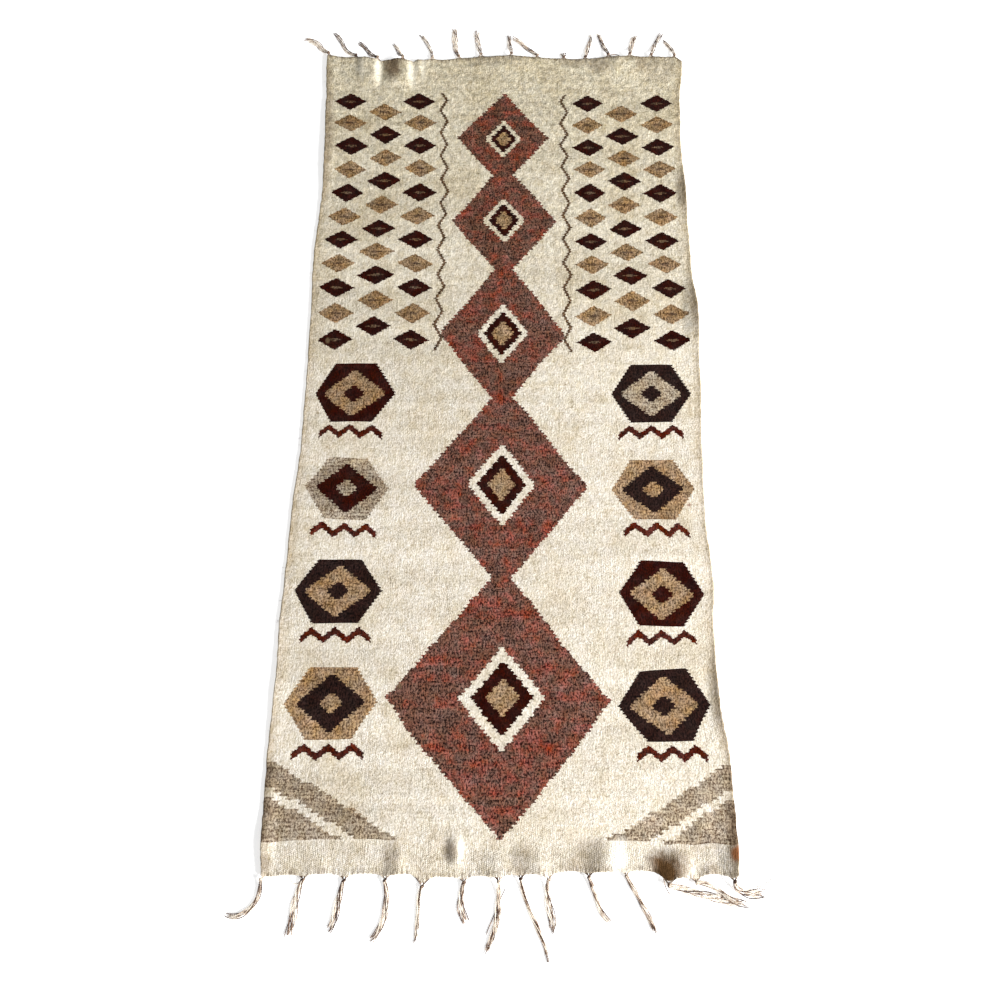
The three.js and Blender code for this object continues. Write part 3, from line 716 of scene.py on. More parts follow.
def unevenDye(tree, fields, colour):
    # hue, strength and value drift a little, more in the dyed yarns than in the undyed cream
    dye = fields["dye"]
    tinted = addNode(tree, "ShaderNodeMath", {"operation": "GREATER_THAN"},
                     {0: fields["number"], 1: 0.5})[0]
    uneven = {}
    for part, field in (("hue", dye["Y"]), ("saturation", dye["Z"]), ("valueSwing", tinted)):
        span, least = wool[part]
        uneven[part] = addNode(tree, "ShaderNodeMath", {"operation": "MULTIPLY_ADD"},
                               {0: field, 1: span, 2: least})[0]
    value = addNode(tree, "ShaderNodeMath", {"operation": "SUBTRACT"}, {0: dye["X"], 1: 0.5})[0]
    value = addNode(tree, "ShaderNodeMath", {"operation": "MULTIPLY_ADD"},
                    {0: value, 1: uneven["valueSwing"], 2: 1.0})[0]
    colour = addNode(tree, "ShaderNodeHueSaturation", None, {
        "Hue": uneven["hue"], "Saturation": uneven["saturation"], "Value": value, "Color": colour})[0]
    for stretch, (start, full), share, tint in patches:
        patch = softNoise(tree, fields["place"], stretch)["Fac"]
        patch = addNode(tree, "ShaderNodeMapRange", None,
                        {"Value": patch, "From Min": start, "From Max": full, "To Max": share})[0]
        colour = addNode(tree, "ShaderNodeMix", {"data_type": "RGBA", "blend_type": "MULTIPLY"},
                         {0: patch, 6: colour, 7: hexColour(tint)})[2]
    return colour


def addWearAndPaintedShade(tree, fields, colour):
    # the darker, yellower and speckled upper end, painted shade in the gaps between the last wefts,
    # and selvedges darkened partly by soil and partly by painted shade
    colour = addNode(tree, "ShaderNodeMix", {"data_type": "RGBA", "blend_type": "MULTIPLY"},
                     {0: fields["upperEndAt"], 6: colour, 7: hexColour(wool["upperEndTint"])})[2]
    mottle = softNoise(tree, fields["place"], *noises["mottle"])["Fac"]
    mottle = addNode(tree, "ShaderNodeMath", {"operation": "MULTIPLY_ADD"},
                     {0: mottle, 1: wool["mottleGain"], 2: -wool["mottleGain"] / 2})[0]
    mottle = addNode(tree, "ShaderNodeMath", {"operation": "MULTIPLY_ADD"},
                     {0: mottle, 1: fields["upperEndAt"], 2: 1.0})[0]
    colour = addNode(tree, "ShaderNodeVectorMath", {"operation": "SCALE"}, {0: colour, "Scale": mottle})[0]
    # painted shade in the gaps where the last wefts part, near both ends
    low, high = wool["slitNoise"]
    slitShade = softNoise(tree, fields["place"], *noises["slitShade"])["Fac"]
    slitShade = addNode(tree, "ShaderNodeMapRange", None, {"Value": slitShade, "From Min": low, "From Max": high})[0]
    for factor in (fields["slitAt"], wool["slitShare"]):
        slitShade = addNode(tree, "ShaderNodeMath", {"operation": "MULTIPLY"}, {0: slitShade, 1: factor})[0]
    colour = addNode(tree, "ShaderNodeMix", {"data_type": "RGBA"},
                     {0: slitShade, 6: colour, 7: hexColour(wool["slitShade"])})[2]
    # a darker last weft at the upper end, and selvedges darkened partly by soil and partly by painted shade
    for part, share, tint in (("lastWeftAt", wool["lastWeftShare"], wool["lastWeft"]),
                              ("selvedgeSoilAndShadeAt", fields["dye"]["Y"], wool["selvedge"])):
        amount = addNode(tree, "ShaderNodeMath", {"operation": "MULTIPLY"}, {0: fields[part], 1: share})[0]
        colour = addNode(tree, "ShaderNodeMix", {"data_type": "RGBA", "blend_type": "MULTIPLY"},
                         {0: amount, 6: colour, 7: hexColour(tint)})[2]
    return colour


def spotAmount(tree, place, ragged, spot):
    # how strongly one spot of soil, painted shade, stain or painted highlight shows, with an uneven outline
    x, y, halfWidth, halfLength, strength = spot
    outer, inner = wool["spotRim"]
    local = addNode(tree, "ShaderNodeVectorMath", {"operation": "SUBTRACT"}, {0: place, 1: (x, y, 0)})[0]
    local = addNode(tree, "ShaderNodeVectorMath", {"operation": "DIVIDE"},
                    {0: local, 1: (halfWidth, halfLength, 1)})[0]
    far = addNode(tree, "ShaderNodeVectorMath", {"operation": "LENGTH"}, {0: local})["Value"]
    far = addNode(tree, "ShaderNodeMath", {"operation": "ADD"}, {0: far, 1: ragged})[0]
    return addNode(tree, "ShaderNodeMapRange", {"interpolation_type": "SMOOTHSTEP"},
                   {"Value": far, "From Min": outer, "From Max": inner, "To Max": strength})[0]


def addSoilStainsAndPaintedLight(tree, fields, colour):
    # soil and painted shade at the folds, then small stains and painted highlights, over the colour
    ragged = addNode(tree, "ShaderNodeMath", {"operation": "MULTIPLY_ADD"},
                     {0: fields["cloud"], 1: wool["spotRagged"], 2: -wool["spotRagged"] / 2})[0]
    soilAndShade = 0.0
    for spot in soilAndFoldShade:
        amount = spotAmount(tree, fields["place"], ragged, spot)
        soilAndShade = addNode(tree, "ShaderNodeMath", {"operation": "MAXIMUM"}, {0: amount, 1: soilAndShade})[0]
    colour = addNode(tree, "ShaderNodeMix", {"data_type": "RGBA", "blend_type": "MULTIPLY"},
                     {0: soilAndShade, 6: colour, 7: hexColour(wool["soilAndShade"])})[2]
    # the pale tints are painted highlights on lit fold crests, the others are real stains
    for *spot, tint in stainsAndHighlights:
        amount = spotAmount(tree, fields["place"], ragged, spot)
        colour = addNode(tree, "ShaderNodeMix", {"data_type": "RGBA"},
                         {0: amount, 6: colour, 7: hexColour(tint)})[2]
    return colour


def weaveBulge(tree, fields):
    # ribs over the warps, beads where each weft crosses them, half a bead out by turns
    sway = addNode(tree, "ShaderNodeMath", {"operation": "MULTIPLY_ADD"},
                   {0: fields["cloud"], 1: wool["ribSway"], 2: fields["x"]})[0]
    rib = addNode(tree, "ShaderNodeMath", {"operation": "DIVIDE"}, {0: sway, 1: wool["warpPitch"]})[0]
    ribCount = addNode(tree, "ShaderNodeMath", {"operation": "FLOOR"}, {0: rib})[0]
    wefts = addNode(tree, "ShaderNodeMath", {"operation": "DIVIDE"},
                    {0: fields["y"], 1: wool["bead"][1]})[0]
    wefts = addNode(tree, "ShaderNodeMath", {"operation": "MULTIPLY_ADD"},
                    {0: ribCount, 1: 0.5, 2: wefts})[0]
    heights = []
    for phase in (rib, wefts):
        turned = addNode(tree, "ShaderNodeMath", {"operation": "MULTIPLY"}, {0: phase, 1: math.pi})[0]
        wave = addNode(tree, "ShaderNodeMath", {"operation": "SINE"}, {0: turned})[0]
        heights.append(addNode(tree, "ShaderNodeMath", {"operation": "ABSOLUTE"}, {0: wave})[0])
    bulge = addNode(tree, "ShaderNodeMath", {"operation": "MULTIPLY"}, {0: heights[0], 1: heights[1]})[0]
    # the ribs show near both ends, and elsewhere they are half lost under the felted face
    (low, high), (least, most) = wool["clearNoise"], wool["clearShare"]
    clear = softNoise(tree, fields["place"], *noises["clear"])["Fac"]
    clear = addNode(tree, "ShaderNodeMapRange", None,
                    {"Value": clear, "From Min": low, "From Max": high, "To Min": least, "To Max": most})[0]
    clear = addNode(tree, "ShaderNodeMath", {"operation": "MAXIMUM"},
                    {0: clear, 1: fields["ribsShowAt"]})[0]
    return addNode(tree, "ShaderNodeMix", None, {0: clear, 2: wool["feltedHeight"], 3: bulge})[0]


def addLumps(tree, fields, bulge):
    # grain and soft lumps of hand-spun yarn over the beads, both more so towards the upper end
    rough = addNode(tree, "ShaderNodeMath", {"operation": "MULTIPLY_ADD"},
                    {0: fields["upperEndAt"], 1: wool["grainHeight"], 2: wool["grainHeight"]})[0]
    rough = addNode(tree, "ShaderNodeMath", {"operation": "MULTIPLY"}, {0: fields["grain"], 1: rough})[0]
    gain, least = wool["lumpHeight"]
    swell = addNode(tree, "ShaderNodeMath", {"operation": "MULTIPLY_ADD"},
                    {0: fields["upperEndAt"], 1: gain, 2: least})[0]
    lumps = softNoise(tree, fields["place"], *noises["lump"])["Fac"]
    lumps = addNode(tree, "ShaderNodeMath", {"operation": "MULTIPLY_ADD"},
                    {0: lumps, 1: swell, 2: rough})[0]
    return addNode(tree, "ShaderNodeMath", {"operation": "ADD"}, {0: bulge, 1: lumps})[0]


def shadeHollows(tree, fields, bulge, colour):
    # painted shade: the weave is a little darker between its beads
    hollow = addNode(tree, "ShaderNodeMath", {"operation": "MULTIPLY_ADD"},
                     {0: bulge, 1: -wool["hollow"], 2: wool["hollow"]})[0]
    hollow = addNode(tree, "ShaderNodeMath", {"operation": "MULTIPLY"},
                     {0: hollow, 1: fields["dye"]["Z"]})[0]
    crevice = addNode(tree, "ShaderNodeMath", {"operation": "SUBTRACT"}, {0: 1.0, 1: hollow})[0]
    return addNode(tree, "ShaderNodeVectorMath", {"operation": "SCALE"}, {0: colour, "Scale": crevice})[0]


def woolMaterial():
    # hand-spun wool: no gloss, speckled where fibres of two colours were carded together
    material = bpy.data.materials.new("handSpunWool")
    material.use_nodes = True
    tree = material.node_tree
    tree.nodes.clear()
    fields = clothFields(tree)
    colour = speckledYarn(tree, fields)
    colour = unevenDye(tree, fields, colour)
    colour = addWearAndPaintedShade(tree, fields, colour)
    colour = addSoilStainsAndPaintedLight(tree, fields, colour)
    bulge = weaveBulge(tree, fields)
    colour = shadeHollows(tree, fields, bulge, colour)
    normal = addNode(tree, "ShaderNodeBump", None, {
        "Strength": wool["bumpStrength"], "Distance": wool["bumpHeight"] * mm,
        "Height": addLumps(tree, fields, bulge)})[0]
    shader = addNode(tree, "ShaderNodeBsdfPrincipled", None, {
        "Base Color": colour, "Roughness": wool["roughness"], "Sheen Weight": wool["sheen"],
        "Sheen Roughness": wool["sheenRoughness"], "Specular IOR Level": wool["specular"],
        "Normal": normal,
    })[0]
    addNode(tree, "ShaderNodeOutputMaterial", None, {"Surface": shader})
    return material


# Fringe: bundles of plied warp ends, each tied in a knot against the edge

fringe = {
    "knotGap": 0.3, "knotWidth": 7, "knotHeight": 6,
    "knotFade": 9,            # length over which a bundle comes down from the knot's own height
    "strandHeight": 1.4,      # as a share of a strand's girth
    "strandSpace": 0.4,
    "settleLength": 22,       # over which a bundle comes down from a raised edge
    "floorGap": 0.1,
    "pathSteps": 24,
    "turnPitch": 90,          # length in which a bundle turns once
    "flare": (0.25, 0.8),     # how far every tip opens, and what a tassel's own flare adds
    "trim": 0.16,             # largest share that a yarn is shorter than its bundle
    # how much darker the yarns are drawn; the knots and the threads drawn into them take more
    "toneDrop": 0.09,
    "plyRadius": 0.41, "plyOffset": 0.34,
    "plyPitch": 5.5,
    "belly": 0.45,            # how much wider a bundle is half way out than at its knot
    "rootWidth": 0.8,
    "nextYarn": 0.382,        # of a turn from one yarn to the next, which spreads them evenly
    "step": 1.4,              # between rings of a ply
    "sides": 6,
    "wander": 1.1, "wanderScale": 45.0, "wanderApart": 3.7,   # waves a metre, and from yarn to yarn
    "taper": 9,               # thins a yarn to half at its very tip
    "plyTone": 0.3, "yarnTone": 0.85,
    "lowest": 0.78,           # of a yarn's middle, so that none goes under the floor
    "sideInset": 0.45, "topInset": 0.66,   # from a strand's outline to the middle of its outer yarns
}
knotCoil = {
    "steps": 28, "turns": 1.85, "length": 2.6, "sway": 0.9, "halfWidth": 2.0, "halfHeight": 1.55,
    "slant": 0.5,             # share of its tassel's heading that a knot takes
    "nextTurn": 0.7,          # radians from one knot's start to the next one's
    "yarns": 3, "yarnReach": 0.62, "yarnPitch": 12, "toneDrop": 0.4,
}

# warp ends that leave the weave beside a knot and run along the edge into it
gathered = {
    "places": (2, 4, 6, 8.5), "spread": 0.55, "spreadByPull": 0.09,
    "inside": 1.6, "startHeight": 2.4,                       # where one leaves the weave
    "turnShare": 0.3, "turnOut": 1.2, "turnHeight": 1.5,     # where it turns towards the knot
    "endAside": 0.8, "endInside": 1.2, "endDrop": 0.3,       # where it goes into the knot
    "steps": 8, "toneDrop": 0.15, "selvedgeMargin": 1,
}

# tassels that ride over a neighbour: how high, and the shares of their length where they climb
crossings = {("top", 9): 2.2, ("bottom", 13): 2.4}
crossingSpan = (0.45, 0.75)

# what each path tells its yarns, and its scale from the tables to the scene
bundleScales = {"yarns": 1, "halfWidth": mm, "halfHeight": mm, "turnPitch": mm, "flare": 1, "trim": 1,
                "toneDrop": 1}


def driftAside(tree, given, fields):
    # each yarn wanders by itself, more towards its tip
    along = addNode(tree, "ShaderNodeMath", {"operation": "MULTIPLY"},
                    {0: fields["reach"], 1: fringe["wanderScale"]})[0]
    apart = addNode(tree, "ShaderNodeMath", {"operation": "MULTIPLY"},
                    {0: fields["yarn"], 1: fringe["wanderApart"]})[0]
    where = addNode(tree, "ShaderNodeCombineXYZ", None, {"X": along, "Y": apart})[0]
    drift = addNode(tree, "ShaderNodeTexNoise", {"noise_dimensions": "2D"},
                    {"Vector": where, "Scale": 1.0})["Fac"]
    drift = addNode(tree, "ShaderNodeMath", {"operation": "SUBTRACT"}, {0: drift, 1: 0.5})[0]
    for factor in (given["Wander"], fields["share"]):
        drift = addNode(tree, "ShaderNodeMath", {"operation": "MULTIPLY"}, {0: drift, 1: factor})[0]
    return drift


def yarnPlace(tree, given, fields):
    # the yarns fill an oval section evenly, turn slowly round each other and part towards the tip
    turns = addNode(tree, "ShaderNodeMath", {"operation": "DIVIDE"},
                    {0: fields["reach"], 1: fields["turnPitch"]})[0]
    turns = addNode(tree, "ShaderNodeMath", {"operation": "MULTIPLY_ADD"},
                    {0: fields["lane"], 1: fringe["nextYarn"], 2: turns})[0]
    angle = addNode(tree, "ShaderNodeMath", {"operation": "MULTIPLY"}, {0: turns, 1: 2 * math.pi})[0]
    ring = addNode(tree, "ShaderNodeMath", {"operation": "ADD"}, {0: fields["lane"], 1: 0.5})[0]
    ring = addNode(tree, "ShaderNodeMath", {"operation": "DIVIDE"}, {0: ring, 1: fields["yarns"]})[0]
    ring = addNode(tree, "ShaderNodeMath", {"operation": "SQRT"}, {0: ring})[0]
    halfTurn = addNode(tree, "ShaderNodeMath", {"operation": "MULTIPLY"},
                       {0: fields["share"], 1: math.pi})[0]
    belly = addNode(tree, "ShaderNodeMath", {"operation": "SINE"}, {0: halfTurn})[0]
    belly = addNode(tree, "ShaderNodeMath", {"operation": "MULTIPLY_ADD"},
                    {0: belly, 1: given["Belly"], 2: fringe["rootWidth"]})[0]
    opened = addNode(tree, "ShaderNodeMath", {"operation": "MULTIPLY_ADD"},
                     {0: fields["share"], 1: fields["flare"], 2: belly})[0]
    across = addNode(tree, "ShaderNodeMath", {"operation": "COSINE"}, {0: angle})[0]
    up = addNode(tree, "ShaderNodeMath", {"operation": "SINE"}, {0: angle})[0]
    width = addNode(tree, "ShaderNodeMath", {"operation": "MULTIPLY"},
                    {0: ring, 1: fields["halfWidth"]})[0]
    width = addNode(tree, "ShaderNodeMath", {"operation": "MULTIPLY"}, {0: width, 1: opened})[0]
    height = addNode(tree, "ShaderNodeMath", {"operation": "MULTIPLY"},
                     {0: ring, 1: fields["halfHeight"]})[0]
    across = addNode(tree, "ShaderNodeMath", {"operation": "MULTIPLY"}, {0: across, 1: width})[0]
    across = addNode(tree, "ShaderNodeMath", {"operation": "ADD"},
                     {0: across, 1: driftAside(tree, given, fields)})[0]
    up = addNode(tree, "ShaderNodeMath", {"operation": "MULTIPLY"}, {0: up, 1: height})[0]
    return across, up


def offsetBy(tree, fields, across, up):
    # a move across and up in a path's own frame
    moves = []
    for direction, amount in (("sideways", across), ("upwards", up)):
        moves.append(addNode(tree, "ShaderNodeVectorMath", {"operation": "SCALE"},
                             {0: fields[direction], "Scale": amount})[0])
    return addNode(tree, "ShaderNodeVectorMath", {"operation": "ADD"}, {0: moves[0], 1: moves[1]})[0]


def layYarns(tree, given, fields):
    # one copy of its path for each yarn, put in its place, kept off the floor and cut uneven
    paths = addNode(tree, "GeometryNodeMeshToCurve", None, {"Mesh": given["Paths"]})[0]
    paths = addNode(tree, "GeometryNodeResampleCurve", {"mode": "LENGTH"}, {0: paths, 3: given["Step"]})[0]
    copies = addNode(tree, "GeometryNodeDuplicateElements", {"domain": "SPLINE"},
                     {0: paths, 2: fields["yarns"]})
    laid = copies[0]
    for name, kind, value in (("yarn", "INT", fields["index"]), ("lane", "FLOAT", copies[1])):
        laid = addNode(tree, "GeometryNodeStoreNamedAttribute", {"data_type": kind, "domain": "CURVE"},
                       {"Geometry": laid, "Name": name, "Value": value})[0]
    move = offsetBy(tree, fields, *yarnPlace(tree, given, fields))
    laid = addNode(tree, "GeometryNodeSetPosition", None, {"Geometry": laid, "Offset": move})[0]
    spot = addNode(tree, "GeometryNodeInputPosition")[0]
    spot = addNode(tree, "ShaderNodeVectorMath", {"operation": "MAXIMUM"},
                   {0: spot, 1: (-9, -9, fringe["lowest"] * mm)})[0]
    laid = addNode(tree, "GeometryNodeSetPosition", None, {"Geometry": laid, "Position": spot})[0]
    cut = addNode(tree, "ShaderNodeMath", {"operation": "MULTIPLY"},
                  {0: fields["chance"], 1: fields["trim"]})[0]
    cut = addNode(tree, "ShaderNodeMath", {"operation": "SUBTRACT"}, {0: 1.0, 1: cut})[0]
    return addNode(tree, "GeometryNodeTrimCurve", {"mode": "FACTOR"}, {0: laid, 3: cut})[0]


def layPlies(tree, given, fields, laid):
    # two plies to a yarn, half a turn apart
    pair = addNode(tree, "GeometryNodeDuplicateElements", {"domain": "SPLINE"}, {0: laid, 2: 2})
    turns = addNode(tree, "ShaderNodeMath", {"operation": "DIVIDE"},
                    {0: fields["reach"], 1: given["Ply Pitch"]})[0]
    turns = addNode(tree, "ShaderNodeMath", {"operation": "MULTIPLY_ADD"},
                    {0: pair[1], 1: 0.5, 2: turns})[0]
    turns = addNode(tree, "ShaderNodeMath", {"operation": "ADD"}, {0: turns, 1: fields["chance"]})[0]
    angle = addNode(tree, "ShaderNodeMath", {"operation": "MULTIPLY"}, {0: turns, 1: 2 * math.pi})[0]
    parts = []
    for operation in ("COSINE", "SINE"):
        part = addNode(tree, "ShaderNodeMath", {"operation": operation}, {0: angle})[0]
        parts.append(addNode(tree, "ShaderNodeMath", {"operation": "MULTIPLY"},
                             {0: part, 1: given["Ply Offset"]})[0])
    move = offsetBy(tree, fields, *parts)
    return addNode(tree, "GeometryNodeSetPosition", None, {"Geometry": pair[0], "Offset": move})[0]


def tellMaterial(tree, given, fields, spun):
    # how light each ply is and how near the tip, which the yarn's material reads
    plyIndex = addNode(tree, "GeometryNodeFieldOnDomain", {"data_type": "INT", "domain": "CURVE"},
                       {"Value": fields["index"]})[0]
    plyTone = addNode(tree, "FunctionNodeRandomValue", {"data_type": "FLOAT"},
                      {3: fringe["plyTone"], "ID": plyIndex, "Seed": 5})[1]
    yarnTone = addNode(tree, "FunctionNodeRandomValue", {"data_type": "FLOAT"},
                       {3: fringe["yarnTone"], "ID": fields["yarn"], "Seed": given["Seed"]})[1]
    tone = addNode(tree, "ShaderNodeMath", {"operation": "ADD"}, {0: plyTone, 1: yarnTone})[0]
    tone = addNode(tree, "ShaderNodeMath", {"operation": "SUBTRACT"}, {0: tone, 1: fields["toneDrop"]})[0]
    for name, value in (("tone", tone), ("tip", fields["share"])):
        spun = addNode(tree, "GeometryNodeStoreNamedAttribute", {"data_type": "FLOAT", "domain": "POINT"},
                       {"Geometry": spun, "Name": name, "Value": value})[0]
    return spun


def pliedYarnTree():
    # turns every path into a bundle of yarns, and every yarn into two plies laid round each other
    tree = bpy.data.node_groups.new("pliedYarn", "GeometryNodeTree")
    tree.interface.new_socket("Paths", in_out="INPUT", socket_type="NodeSocketGeometry")
    for name in ("Step", "Ply Radius", "Ply Offset", "Ply Pitch", "Wander", "Belly"):
        tree.interface.new_socket(name, in_out="INPUT", socket_type="NodeSocketFloat")
    for name in ("Sides", "Seed"):
        tree.interface.new_socket(name, in_out="INPUT", socket_type="NodeSocketInt")
    tree.interface.new_socket("Wool", in_out="INPUT", socket_type="NodeSocketMaterial")
    tree.interface.new_socket("Yarns", in_out="OUTPUT", socket_type="NodeSocketGeometry")
    given = addNode(tree, "NodeGroupInput")
    fields = {name: addNode(tree, "GeometryNodeInputNamedAttribute", None, {"Name": name})["Attribute"]
              for name in ("reach", "lane", *bundleScales)}
    fields["yarn"] = addNode(tree, "GeometryNodeInputNamedAttribute", {"data_type": "INT"},
                             {"Name": "yarn"})["Attribute"]
    fields["chance"] = addNode(tree, "FunctionNodeRandomValue", {"data_type": "FLOAT"},
                               {"ID": fields["yarn"], "Seed": given["Seed"]})[1]
    fields["index"] = addNode(tree, "GeometryNodeInputIndex")[0]
    fields["share"] = addNode(tree, "GeometryNodeSplineParameter")["Factor"]
    fields["sideways"] = addNode(tree, "GeometryNodeInputNormal")[0]
    forwards = addNode(tree, "GeometryNodeInputTangent")[0]
    fields["upwards"] = addNode(tree, "ShaderNodeVectorMath", {"operation": "CROSS_PRODUCT"},
                                {0: fields["sideways"], 1: forwards})[0]
    laid = layYarns(tree, given, fields)
    spun = layPlies(tree, given, fields, laid)
    spun = tellMaterial(tree, given, fields, spun)
    taper = addNode(tree, "ShaderNodeMath", {"operation": "MULTIPLY_ADD"},
                    {0: fields["share"], 1: -fringe["taper"], 2: fringe["taper"] + 0.5})[0]
    taper = addNode(tree, "ShaderNodeMath", {"operation": "MINIMUM"}, {0: taper, 1: 1.0})[0]
    radius = addNode(tree, "ShaderNodeMath", {"operation": "MULTIPLY"},
                     {0: taper, 1: given["Ply Radius"]})[0]
    profile = addNode(tree, "GeometryNodeCurvePrimitiveCircle", None,
                      {"Resolution": given["Sides"], "Radius": 1.0})[0]
    mesh = addNode(tree, "GeometryNodeCurveToMesh", None,
                   {"Curve": spun, "Profile Curve": profile, "Scale": radius, "Fill Caps": True})[0]
    mesh = addNode(tree, "GeometryNodeSetShadeSmooth", None, {"Geometry": mesh})[0]
    mesh = addNode(tree, "GeometryNodeRealizeInstances", None, {"Geometry": mesh})[0]
    mesh = addNode(tree, "GeometryNodeSetMaterial", None, {"Geometry": mesh, "Material": given["Wool"]})[0]
    addNode(tree, "NodeGroupOutput", None, {0: mesh})
    return tree


def spinYarns(name, paths, tree, material, seed, sizes=fringe):
    # one mesh of all the yarns along the paths, which yarnBundle gives
    points, edges = [], []
    columns = {key: [] for key in ("reach", *bundleScales)}
    for path in paths:
        route = np.array(path["points"], float)
        reach = np.concatenate([[0], np.cumsum(np.linalg.norm(np.diff(route, axis=0), axis=1))])
        first = len(points)
        points.extend(route * mm)
        edges.extend((first + at, first + at + 1) for at in range(len(route) - 1))
        columns["reach"].extend(reach * mm)
        for key, scale in bundleScales.items():
            columns[key].extend([path[key] * scale] * len(route))
    source = bpy.data.meshes.new(name + "Paths")
    source.from_pydata([tuple(point) for point in points], edges, [])
    for key, values in columns.items():
        source.attributes.new(key, "FLOAT", "POINT").data.foreach_set("value", np.array(values, np.float32))
    carrier = bpy.data.objects.new(name + "Paths", source)
    bpy.context.scene.collection.objects.link(carrier)
    modifier = carrier.modifiers.new("Plied yarn", "NODES")
    modifier.node_group = tree
    values = {"Step": sizes["step"] * mm, "Ply Radius": sizes["plyRadius"] * mm,
              "Ply Offset": sizes["plyOffset"] * mm, "Ply Pitch": sizes["plyPitch"] * mm,
              "Wander": sizes["wander"] * mm, "Belly": sizes["belly"], "Sides": sizes["sides"],
              "Seed": seed, "Wool": material}
    for item in tree.interface.items_tree:
        if item.in_out == "INPUT" and item.name in values:
            modifier[item.identifier] = values[item.name]
    evaluated = carrier.evaluated_get(bpy.context.evaluated_depsgraph_get())
    mesh = bpy.data.meshes.new_from_object(evaluated)
    mesh.name = name
    bpy.data.objects.remove(carrier)
    bpy.data.meshes.remove(source)
    piece = bpy.data.objects.new(name, mesh)
    bpy.context.scene.collection.objects.link(piece)
    return piece


def headingAt(tassel, share):
    # how far it points from straight outwards, a parabola through its root, middle and tip
    root, middle, tip = tassel[3:6]
    return math.radians(root * (1 - share) * (1 - 2 * share) + middle * 4 * share * (1 - share)
                        + tip * share * (2 * share - 1))


def bundlePath(end, tassel, number, halfHeight):
    # the middle line of a tassel, from inside its knot down to the floor and out to the tip
    x, length = tassel[0], tassel[2]
    y = end["outward"] * (edgeReach(end, x) + fringe["knotGap"] + fringe["knotWidth"] / 2)
    lift = float(liftAt(x, end["outward"] * edgeReach(end, x)))
    crossing = crossings.get((end["name"], number), 0)
    steps = fringe["pathSteps"]
    points = []
    for at in range(steps + 1):
        share = at / steps
        settled = lift * (1 - smoothStep(0, fringe["settleLength"], share * length))
        fade = 1 - smoothStep(0, fringe["knotFade"], share * length)
        knotted = (fringe["knotHeight"] / 2 - halfHeight) * fade
        riding = crossing * smoothStep(*crossingSpan, share)
        points.append((x, y, settled + knotted + riding + halfHeight + fringe["floorGap"]))
        heading = headingAt(tassel, share + 0.5 / steps)
        x += length / steps * math.sin(heading)
        y += length / steps * end["outward"] * math.cos(heading)
    return points


def knotPath(centre, heading, outward, turn):
    # nearly two turns of the bundle round itself, slanting across its own direction
    forwards = Vector((math.sin(heading), outward * math.cos(heading), 0))
    sideways = Vector((forwards.y, -forwards.x, 0))
    points = []
    for at in range(knotCoil["steps"] + 1):
        share = at / knotCoil["steps"]
        angle = turn + 2 * math.pi * knotCoil["turns"] * share
        along = (share - 0.5) * knotCoil["length"] + knotCoil["sway"] * math.cos(angle)
        raised = Vector((0, 0, knotCoil["halfHeight"] * math.sin(angle)))
        spot = centre + forwards * along + sideways * knotCoil["halfWidth"] * math.cos(angle) + raised
        points.append(tuple(spot))
    return points


def yarnBundle(points, yarns=1, halfWidth=0, halfHeight=0, turnPitch=40, flare=0, trim=0, toneDrop=0):
    # a path in millimetres with the sizes of the bundle along it, or of a single yarn
    return {"points": points, "yarns": yarns, "halfWidth": halfWidth, "halfHeight": halfHeight,
            "turnPitch": turnPitch, "flare": flare, "trim": trim, "toneDrop": toneDrop}


def gatheredPaths(end, tassel, knot):
    paths = []
    outward = end["outward"]
    spread = gathered["spread"] + gathered["spreadByPull"] * tassel[1]
    for side in (-1, 1):
        for place in gathered["places"]:
            x = tassel[0] + side * place * spread
            selvedge = readTable(rightSelvedge if x > 0 else leftSelvedge, outward * cloth["length"] / 2)
            if abs(x) > selvedge - gathered["selvedgeMargin"]:
                continue
            edge = edgeReach(end, x)
            lift = liftAt(x, outward * edge)
            start = Vector((x, outward * (edge - gathered["inside"]), lift + gathered["startHeight"]))
            turning = Vector((x - side * gathered["turnShare"] * place * spread,
                              outward * (edge + gathered["turnOut"]), lift + gathered["turnHeight"]))
            finish = Vector((tassel[0] + side * gathered["endAside"],
                             knot.y - outward * gathered["endInside"], knot.z - gathered["endDrop"]))
            points = []
            for at in range(gathered["steps"] + 1):
                t = at / gathered["steps"]
                points.append(tuple(start * (1 - t) ** 2 + turning * 2 * t * (1 - t) + finish * t ** 2))
            paths.append(yarnBundle(points, toneDrop=gathered["toneDrop"]))
    return paths


def makeTassel(end, tassel, number, tree, material):
    strands, girth, flare = tassel[6:9]
    halfWidth = ((strands - 1) * (girth + fringe["strandSpace"]) + girth) / 2
    halfWidth = halfWidth - fringe["sideInset"] + end["fuller"]
    halfHeight = fringe["strandHeight"] * girth / 2
    line = bundlePath(end, tassel, number, halfHeight)
    yarnCount = 2 * strands + 3   # 7 or 9
    tipFlare, flareShare = fringe["flare"]
    paths = [yarnBundle(line, yarnCount, halfWidth, halfHeight - fringe["topInset"], fringe["turnPitch"],
                        tipFlare + flareShare * flare, fringe["trim"], fringe["toneDrop"])]
    knot = Vector(line[0])
    knot.z = float(liftAt(tassel[0], end["outward"] * edgeReach(end, tassel[0]))) + fringe["knotHeight"] / 2
    coil = knotPath(knot, headingAt(tassel, 0) * knotCoil["slant"], end["outward"],
                    knotCoil["nextTurn"] * number)
    paths.append(yarnBundle(coil, knotCoil["yarns"], knotCoil["yarnReach"], knotCoil["yarnReach"],
                            knotCoil["yarnPitch"], toneDrop=knotCoil["toneDrop"]))
    paths.extend(gatheredPaths(end, tassel, knot))
    name = f"tassel{end['name'].capitalize()}{number:02d}"
    return spinYarns(name, paths, tree, material, 10 * number + (end["outward"] > 0))


